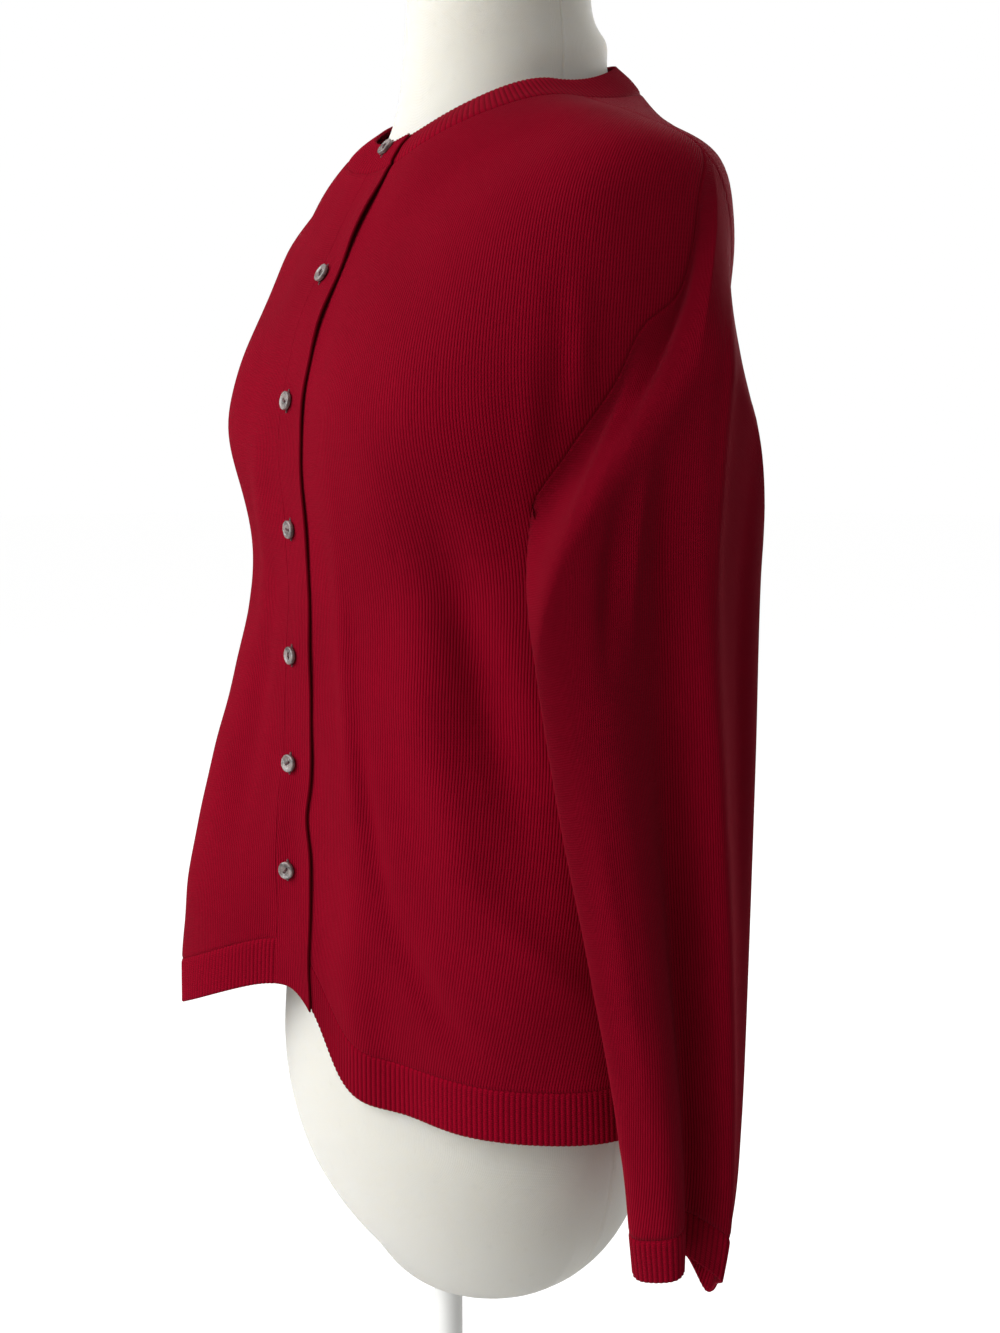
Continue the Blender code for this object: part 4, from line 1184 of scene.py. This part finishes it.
class CARDIGAN_OT_hem(bpy.types.Operator):
    """Make the ribbed hem: a piece below each front and one below the back"""

    bl_idname = "cardigan.hem"
    bl_label = "Hem ribs"

    def execute(self, context):
        knit = context.scene.cardigan_knit
        material = ribbed_knit(knit)
        rows = HEM_RIB_TOP + np.array(HEM_RIB_SHARES)
        side = side_angle(rows, -1)
        pieces = (
            ("front_right", OVER_EDGE_X, 1, -math.pi - side, 0.230, 520),
            ("front_left", UNDER_EDGE_X, -1, side, 0.230, 520),
            ("back", None, 0, math.pi - side, 0.440, 1000),
        )
        for name, edge_x, lap, last, width, count in pieces:
            start = side_angle(rows, 1) if edge_x is None else front_angle(edge_x - lap * BAND_WIDTH, rows)
            share = np.linspace(0, 1, count + 1)
            angle = start[:, None] + (last - start)[:, None] * share
            row = np.broadcast_to(rows[:, None], angle.shape)
            grid, normals = body_point(angle, row, lap), body_normal(angle, row, lap)
            places = cloth_places(grid)
            places[..., 0] = places[-1:, :, 0]
            raised = normals * rib_lift(places, knit)[..., None]
            grid = seam_dip(grid, normals, True, False, True, True) + raised
            grid = drawn_in(grid, bottom=False)
            rims = (False, True, False, False)
            wall = cloth_wall(grid, normals, RIB_WALL, places, round_edges=rims)
            piece = add_piece(f"rib_hem_{name}", wall, material, "cardigan_rib", f"hem_rib_{name}")
        return {"FINISHED"}


class CARDIGAN_OT_neckband(bpy.types.Operator):
    """Make the ribbed neckband, from the over end at the front round the back to the end under it"""

    bl_idname = "cardigan.neckband"
    bl_label = "Neckband"

    def execute(self, context):
        knit = context.scene.cardigan_knit
        material = ribbed_knit(knit)
        rows = np.array(NECKBAND_ROWS)
        over_end = front_angle(OVER_EDGE_X, rows)
        under_end = front_angle(UNDER_EDGE_X, rows) - 2 * math.pi
        share = np.linspace(0, 1, 1101)
        angle = over_end[:, None] + (under_end - over_end)[:, None] * share
        row = np.broadcast_to(rows[:, None], angle.shape)
        on_over = (angle > -math.pi)[..., None]
        under = (body_point(angle + 2 * math.pi, row, -1), body_normal(angle + 2 * math.pi, row, -1))
        grid = np.where(on_over, body_point(angle, row, 1), under[0])
        normals = np.where(on_over, body_normal(angle, row, 1), under[1])
        places = cloth_places(grid)
        places[..., 0] = places[7:8, :, 0]
        seam = ease(places[..., 1], 0.0, RIB_FORMS_OVER)
        plump = np.sin(math.pi * np.clip(rows, 0, 1))[:, None] * 0.0004
        raised = (rib(places[..., 0], knit.rib_pitch) - 0.5) * knit.rib_depth * 0.8 * seam + plump
        grid = seam_dip(grid, normals, False, True, False, False) + normals * raised[..., None]
        grid = drawn_in(grid, top=False, left=False, right=False)
        rims = (True, False, True, True)
        wall = cloth_wall(grid, normals, KNIT_WALL, places, round_edges=rims)
        piece = add_piece("rib_neckband", wall, material, "cardigan_rib", "neckband")
        return {"FINISHED"}


class CARDIGAN_OT_sleeves(bpy.types.Operator):
    """Make both sleeves and their ribbed cuffs, hanging empty from the armholes"""

    bl_idname = "cardigan.sleeves"
    bl_label = "Sleeves"

    def execute(self, context):
        knit = context.scene.cardigan_knit
        plain = plain_knit(knit)
        ribbed = ribbed_knit(knit)
        body_face = BodyFace()
        for side, hand in (("left", 1), ("right", -1)):
            self.sleeve(side, hand, body_face, plain)
            self.cuff(side, hand, body_face, ribbed, knit)
        return {"FINISHED"}

    def sleeve(self, side, hand, body_face, material):
        """The plain tube from the armhole to the cuff."""
        even = np.linspace(180, 540, 169)
        around = even - MIDDLE_CROWDING * np.sin(np.radians(2 * even))
        shares = np.concatenate((SLEEVE_TOP_SHARES, np.linspace(0.016, 1, 150)))
        grid, seam_normal = sleeve_face(hand, around, shares, body_face)
        normals = grid_normals(grid, True)
        if np.sum(normals[75, 84] * (hand, 0, 0)) < 0:
            normals = -normals
        agree = ease(np.sum(normals[0] * seam_normal, axis=-1), -0.1, 0.5)[:, None]
        normals[0] = unit(normals[0] * (1 - agree) + seam_normal * agree)
        places = cloth_places(grid, middle=True)
        grid = seam_dip(grid, normals, True, True, False, False)
        grid = drawn_in(grid, left=False, right=False)
        wall = cloth_wall(grid, normals, KNIT_WALL, places, wraps=True, round_edges=PLAIN_RIMS)
        piece = add_piece(f"knit_sleeve_{side}", wall, material, "cardigan_knit", f"sleeve_{side}")

    def cuff(self, side, hand, body_face, material, knit):
        """The ribbed tube at the sleeve's end."""
        around = np.linspace(180, 540, 433)
        shares = 1 + np.array(CUFF_SHARES)
        grid = sleeve_face(hand, around, shares, body_face)[0]
        normals = grid_normals(grid, True)
        if np.sum(normals[6, 216] * (hand, 0, 0)) < 0:
            normals = -normals
        places = cloth_places(grid, middle=True)
        girth = places[6:7, :, 0]
        wales = round((girth[0, -1] - girth[0, 0]) / knit.rib_pitch)
        places[..., 0] = girth * wales * knit.rib_pitch / (girth[0, -1] - girth[0, 0])
        raised = normals * rib_lift(places, knit)[..., None]
        grid = seam_dip(grid, normals, True, False, False, False) + raised
        grid = drawn_in(grid, bottom=False, left=False, right=False)
        rims = (False, True, False, False)
        wall = cloth_wall(grid, normals, RIB_WALL, places, wraps=True, round_edges=rims)
        piece = add_piece(f"rib_cuff_{side}", wall, material, "cardigan_rib", f"cuff_{side}")


def turned(name, profile, segments):
    """A mesh turned about Z from a profile at +X that runs down its outer side, axis to axis."""
    model = bmesh.new()
    verts = [model.verts.new((radius, 0, height)) for radius, height in profile]
    edges = [model.edges.new(pair) for pair in zip(verts[:-1], verts[1:])]
    whole = {"axis": (0, 0, 1), "cent": (0, 0, 0), "angle": 2 * math.pi, "use_merge": True}
    bmesh.ops.spin(model, geom=verts + edges, steps=segments, **whole)
    bmesh.ops.remove_doubles(model, verts=model.verts, dist=0.000005)
    bmesh.ops.recalc_face_normals(model, faces=model.faces)
    mesh = model_mesh(model, name)
    mesh.shade_smooth()
    mesh.set_sharp_from_angle(angle=HARD_EDGE)
    return mesh


def rounded_corner(centre, radius, start, end, steps=5):
    """Points of a quarter round for a profile."""
    turns = np.radians(np.linspace(start, end, steps))
    return [(centre[0] + radius * math.cos(turn), centre[1] + radius * math.sin(turn)) for turn in turns]


def tube(name, path, radius, sides=10, closed=False):
    """A thread or wire: a round tube along points."""
    curve = bpy.data.curves.new(name, "CURVE")
    curve.dimensions = "3D"
    curve.bevel_depth = radius
    curve.bevel_resolution = max(1, sides // 4)
    curve.use_fill_caps = not closed
    spline = curve.splines.new("POLY")
    spline.points.add(len(path) - 1)
    for point, place in zip(spline.points, path):
        point.co = (*place, 1)
    spline.use_cyclic_u = closed
    holder = placed(name, curve)
    mesh = evaluated(holder)
    bpy.data.objects.remove(holder)
    mesh.shade_smooth()
    return mesh


def button_places():
    """A frame for each button: its place on the right front, with Z out of the cloth and X up it."""
    rows = np.linspace(NECK_EDGE, HEM_EDGE, 900)
    for number, drop in enumerate(BUTTON_DROPS, start=1):
        angles = front_angle(BUTTON_X, rows)
        heights = body_point(angles, rows, 1)[:, 2] - NECK_POINT_Z
        row = np.interp(drop, -heights, rows)
        angle = front_angle(BUTTON_X, row)
        normal = body_normal(angle, row, 1)
        level = unit(np.cross((0.0, 0.0, 1.0), normal))
        place = np.eye(4)
        place[:3, 0] = np.cross(normal, level)
        place[:3, 1] = -level
        place[:3, 2] = normal
        place[:3, 3] = body_point(angle, row, 1)
        yield number, Matrix(place.tolist())


class CARDIGAN_OT_buttons(bpy.types.Operator):
    """Make the shell buttons, the thread through each and the buttonhole under it"""

    bl_idname = "cardigan.buttons"
    bl_label = "Buttons"

    def execute(self, context):
        sizes = context.scene.cardigan_button
        shell = finish_named("grey_shell", shell_finish, sizes)
        dark_thread = finish_named("red_thread", thread_finish, "red_thread", (0.10, 0.004, 0.012, 1.0))
        blank = self.button(sizes)
        stitch = self.stitches(sizes)
        lips = self.buttonhole(sizes)
        for number, place in button_places():
            face = blank.copy()
            turn = 0.2 if number in (2, 5) else 0.35 * number
            raised = place @ Matrix.Translation((0, 0, sizes.stand_off))
            lifted = raised @ Matrix.Rotation(turn, 4, "Z")
            face.transform(lifted)
            add_piece(f"shell_button_{number}", face, shell, "shell_button", f"button_{number}")
            sewn = stitch.copy()
            sewn.transform(lifted)
            add_piece(f"button_thread_{number}", sewn, dark_thread, "cardigan_knit")
            hole = lips.copy()
            hole.transform(place)
            add_piece(f"buttonhole_{number}", hole, dark_thread, "cardigan_knit")
        return {"FINISHED"}

    def button(self, sizes):
        """A dished two-hole button with a rounded rim."""
        rim = 0.0008
        dish = sizes.radius * 0.72
        top = sizes.thickness
        well = top - 0.00055
        profile = [(0, well), (dish * 0.5, well), (dish * 0.88, top - 0.0005)]
        profile += [(dish, top - 0.0003), (dish + 0.0004, top - 0.00005)]
        profile += rounded_corner((sizes.radius - rim, top - rim), rim, 90, 0, 6)
        profile += rounded_corner((sizes.radius - rim, rim * 0.9), rim * 0.9, 0, -90, 5)
        profile += [(0, 0)]
        blank = placed("blank", turned("blank", profile, 56))
        drills = []
        for x in (-sizes.hole_spacing / 2, sizes.hole_spacing / 2):
            model = bmesh.new()
            ends = {"radius1": sizes.hole_radius, "radius2": sizes.hole_radius}
            bmesh.ops.create_cone(model, cap_ends=True, segments=20, depth=0.01, **ends)
            bmesh.ops.translate(model, verts=model.verts, vec=(x, 0, 0))
            drill = placed("drill", model_mesh(model, "drill"))
            drills.append(drill)
            cut = blank.modifiers.new("hole", "BOOLEAN")
            cut.operation = "DIFFERENCE"
            cut.object = drill
        mesh = evaluated(blank)
        for item in (blank, *drills):
            bpy.data.objects.remove(item)
        mesh.shade_smooth()
        mesh.set_sharp_from_angle(angle=HARD_EDGE)
        return mesh

    def stitches(self, sizes):
        """Thread that comes up one hole and goes down the other, twice over."""
        model = bmesh.new()
        half = sizes.hole_spacing / 2
        top = sizes.thickness - 0.0004
        for y in (-0.00028, 0.00028):
            arch = [(-half, y, -0.0003), (-half, y, top - 0.0003)]
            arch += [(-half * 0.8, y, top + 0.0002), (0, y, top + 0.00035)]
            arch += [(-x, y, z) for x, y, z in reversed(arch[:-1])]
            model.from_mesh(tube("stitch", arch, 0.00026))
        mesh = model_mesh(model, "stitches")
        mesh.shade_smooth()
        return mesh

    def buttonhole(self, sizes):
        """The corded edge of an upright buttonhole, a little longer than the button."""
        turns = np.linspace(0, 2 * math.pi, 49)[:-1]
        reach = sizes.radius + 0.0011
        path = [(reach * math.cos(turn), 0.0008 * math.sin(turn), 0.00015) for turn in turns]
        return tube("buttonhole", path, 0.00042, closed=True)


class CARDIGAN_OT_form(bpy.types.Operator):
    """Make the dress form's jersey-covered torso and the cap on its neck"""

    bl_idname = "cardigan.form"
    bl_label = "Dress form"

    def execute(self, context):
        sizes = context.scene.cardigan_form
        jersey = finish_named("cream_jersey", jersey_finish, sizes)
        enamel = white_enamel(sizes)
        seams = np.radians((8.0, 172.0))
        near = np.concatenate([seam + np.radians((-1.6, -0.9, -0.4, 0, 0.4, 0.9, 1.6)) for seam in seams])
        even = np.linspace(0, 2 * math.pi, 121)[:-1]
        keep = np.min(np.abs(even[:, None] - seams), axis=1) > math.radians(2.2)
        angle = np.sort(np.concatenate((even[keep], near)))
        angle = np.append(angle, angle[0] + 2 * math.pi)
        rows = np.linspace(0, len(FORM_RINGS) - 1, 19 * 8 + 1)
        grid = ring_point(FORM, angle[None, :], rows[:, None])
        normals = grid_normals(grid, True)
        if np.sum(normals[70, 0] * (1, 0, 0)) < 0:
            normals = -normals
        gap = np.min(np.abs((angle[:, None] - seams + math.pi) % (2 * math.pi) - math.pi), axis=1)
        places = cloth_places(grid)
        groove = np.exp(-((gap / math.radians(0.55)) ** 2))[None, :] * 0.0007
        ridge = np.exp(-(((gap - math.radians(1.2)) / math.radians(0.6)) ** 2))[None, :] * 0.00025
        grid = grid + normals * (ridge - groove)[..., None]
        count = len(angle)
        number = np.arange(len(rows) * count).reshape(len(rows), count)
        corners = (number[:-1, :-1], number[1:, :-1], number[1:, 1:], number[:-1, 1:])
        quads = np.stack(corners, axis=-1).reshape(-1, 4)
        corner_uvs = places.reshape(-1, 2)[quads.ravel()]
        same = np.arange(number.size)
        same[number[:, -1]] = number[:, 0]
        quads = same[quads]
        used, quads = np.unique(quads, return_inverse=True)
        mesh = quad_mesh(grid.reshape(-1, 3)[used], quads.reshape(-1, 4), corner_uvs)
        model = bmesh.new()
        model.from_mesh(mesh)
        open_edges = [edge for edge in model.edges if edge.is_boundary]
        bmesh.ops.holes_fill(model, edges=open_edges, sides=0)
        bmesh.ops.recalc_face_normals(model, faces=model.faces)
        model.to_mesh(mesh)
        model.free()
        mesh.set_sharp_from_angle(angle=FORM_EDGE)
        add_piece("form_cover", mesh, jersey, "form_jersey", "form_torso")
        top = FORM_RINGS[0]
        radius = top.side_x + 0.001
        profile = [(0, 0.010), (radius * 0.5, 0.0098)]
        profile += rounded_corner((radius - 0.003, 0.0065), 0.003, 90, 0, 6)
        profile += [(radius, 0.001), (radius - 0.001, 0), (0, 0)]
        cap = turned("form_cap", profile, 96)
        cap.transform(Matrix.Translation((0, top.side_y, NECK_POINT_Z + top.side_z + 0.0003)))
        add_piece("form_cap", cap, enamel, "stand_enamel", "form_neck_cap")
        return {"FINISHED"}


class CARDIGAN_OT_stand(bpy.types.Operator):
    """Make the stand: the round base with its socket, and the pole"""

    bl_idname = "cardigan.stand"
    bl_label = "Stand"

    def execute(self, context):
        sizes = context.scene.cardigan_form
        enamel = white_enamel(sizes)
        socket, socket_top = 0.017, 0.050
        profile = [(0, socket_top)]
        profile += rounded_corner((socket - 0.002, socket_top - 0.002), 0.002, 90, 0, 5)
        profile += [(socket, 0.022)]
        fillet = 0.008
        for turn in (0.4, 0.8, 1.2, 1.5):
            profile += [(socket + fillet - fillet * math.cos(turn), 0.022 - fillet * math.sin(turn))]
        profile += [(0.060, 0.0131), (0.100, 0.0108), (0.130, 0.0085), (0.150, 0.0066)]
        profile += rounded_corner((sizes.base_radius - 0.003, 0.003), 0.003, 70, -60, 7)
        profile += [(sizes.base_radius - 0.002, 0), (0, 0)]
        add_piece("stand_foot", turned("stand_foot", profile, 128), enamel, "stand_enamel", "stand_base")
        low, high = frame_height("stand_pole")
        radius = sizes.pole_radius
        profile = [(0, high), (radius - 0.0004, high), (radius, high - 0.0004)]
        profile += [(radius, low + 0.0004), (radius - 0.0004, low), (0, low)]
        add_piece("stand_column", turned("stand_column", profile, 64), enamel, "stand_enamel", "stand_pole")
        return {"FINISHED"}


def frame_height(node):
    """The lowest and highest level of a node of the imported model."""
    low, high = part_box(node)
    return low[2], high[2]


class CARDIGAN_OT_stage(bpy.types.Operator):
    """Make the floor, the lights, the world and the camera"""

    bl_idname = "cardigan.stage"
    bl_label = "Stage"

    def execute(self, context):
        scene = context.scene
        sizes = scene.cardigan_stage
        reach = sizes.floor_reach
        floor = bpy.data.meshes.new("studio_floor")
        corners = [(-reach, -reach, 0), (reach, -reach, 0), (reach, reach, 0), (-reach, reach, 0)]
        floor.from_pydata(corners, [], [(0, 1, 2, 3)])
        self.set_piece(floor, studio_finish("floor_paint", tuple(sizes.floor), 0.90))
        model = bmesh.new()
        bmesh.ops.create_uvsphere(model, u_segments=48, v_segments=24, radius=reach * 0.95)
        wall = model_mesh(model, "studio_wall")
        wall.shade_smooth()
        self.set_piece(wall, studio_finish("wall_paint", (0.0, 0.0, 0.0, 1.0), 1.0))
        world = bpy.data.worlds.new("studio_world")
        world.use_nodes = True
        background = world.node_tree.nodes["Background"]
        background.inputs["Color"].default_value = (1.0, 0.995, 0.985, 1.0)
        background.inputs["Strength"].default_value = sizes.room_light
        scene.world = world
        chest = (0.0, 0.0, 0.90)
        self.light("window", (-0.55, -2.15, 1.80), chest, 2.2, sizes.key_power)
        self.light("fill", (0.5, -1.9, 2.3), chest, 1.6, sizes.fill_power)
        self.light("back_window", (-0.7, 2.3, 1.7), chest, 2.0, sizes.back_power)
        self.light("bounce", (0.1, -0.5, 0.02), (0.1, -0.5, 1.0), 1.4, sizes.bounce_power)
        self.camera(scene)
        scene.view_settings.view_transform = "Standard"
        return {"FINISHED"}

    def set_piece(self, mesh, material):
        """A piece of the set, which is seen but throws no light or shadow on the object."""
        mesh.materials.append(material)
        piece = placed(mesh.name, mesh)
        piece.visible_diffuse = False
        piece.visible_glossy = False
        piece.visible_shadow = False
        piece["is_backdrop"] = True

    def light(self, name, place, aim, size, power):
        """A square soft light that faces a point."""
        light = bpy.data.lights.new(name, "AREA")
        light.size = size
        light.energy = power
        holder = placed(name, light)
        holder.location = place
        holder.rotation_euler = (Vector(aim) - Vector(place)).to_track_quat("-Z", "Y").to_euler()
        holder.visible_camera = False

    def camera(self, scene):
        """A view from the wearer's left front, looking a little down at the body."""
        x, y = math.sin(VIEW_AROUND), -math.cos(VIEW_AROUND)
        place = Vector((VIEW_REACH * x, VIEW_SHIFT_Y + VIEW_REACH * y, NECK_POINT_Z - VIEW_DROP))
        ahead = Matrix.Rotation(VIEW_YAW, 3, "Z") @ Vector((-x, -y, 0))
        right = ahead.cross(Vector((0, 0, 1)))
        forward = ahead * math.cos(VIEW_TILT) - Vector((0, 0, 1)) * math.sin(VIEW_TILT)
        upward = right.cross(forward)
        lens = bpy.data.cameras.new("camera")
        lens.sensor_width = SENSOR_WIDTH
        lens.sensor_fit = "AUTO"
        lens.lens = LENS_SHARE * SENSOR_WIDTH
        holder = placed("camera", lens)
        pose = Matrix((right, upward, -forward)).transposed().to_4x4()
        pose.translation = place
        holder.matrix_world = pose
        scene.camera = holder


STEPS = (
    CARDIGAN_OT_stage,
    CARDIGAN_OT_form,
    CARDIGAN_OT_stand,
    CARDIGAN_OT_back,
    CARDIGAN_OT_fronts,
    CARDIGAN_OT_bands,
    CARDIGAN_OT_hem,
    CARDIGAN_OT_neckband,
    CARDIGAN_OT_sleeves,
    CARDIGAN_OT_buttons,
)

SETTINGS = {
    "cardigan_knit": KnitSettings,
    "cardigan_button": ButtonSettings,
    "cardigan_form": FormSettings,
    "cardigan_stage": StageSettings,
}


class CARDIGAN_PT_side(bpy.types.Panel):
    """The sizes, the colours and a button for each piece"""

    bl_label = "Button cardigan"
    bl_idname = "CARDIGAN_PT_side"
    bl_space_type = "VIEW_3D"
    bl_region_type = "UI"
    bl_category = "Cardigan"

    def draw(self, context):
        for name, group in SETTINGS.items():
            box = self.layout.box()
            for field in group.__annotations__:
                box.prop(getattr(context.scene, name), field)
        for step in STEPS:
            self.layout.operator(step.bl_idname)


def register():
    for name, group in SETTINGS.items():
        bpy.utils.register_class(group)
        setattr(bpy.types.Scene, name, PointerProperty(type=group))
    for item in (*STEPS, CARDIGAN_PT_side):
        bpy.utils.register_class(item)


def unregister():
    for item in reversed((*STEPS, CARDIGAN_PT_side)):
        bpy.utils.unregister_class(item)
    for name, group in SETTINGS.items():
        delattr(bpy.types.Scene, name)
        bpy.utils.unregister_class(group)


def plain(bounds):
    """A box's corners as lists of numbers."""
    return [[float(value) for value in corner] for corner in bounds]


def main():
    register()
    for step in STEPS:
        space, name = step.bl_idname.split(".")
        getattr(getattr(bpy.ops, space), name)()
    bpy.context.view_layer.update()
    {"cad": plain(CAD_BOUNDS), "visual": plain(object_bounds())}


if __name__ == "__main__":
    main()
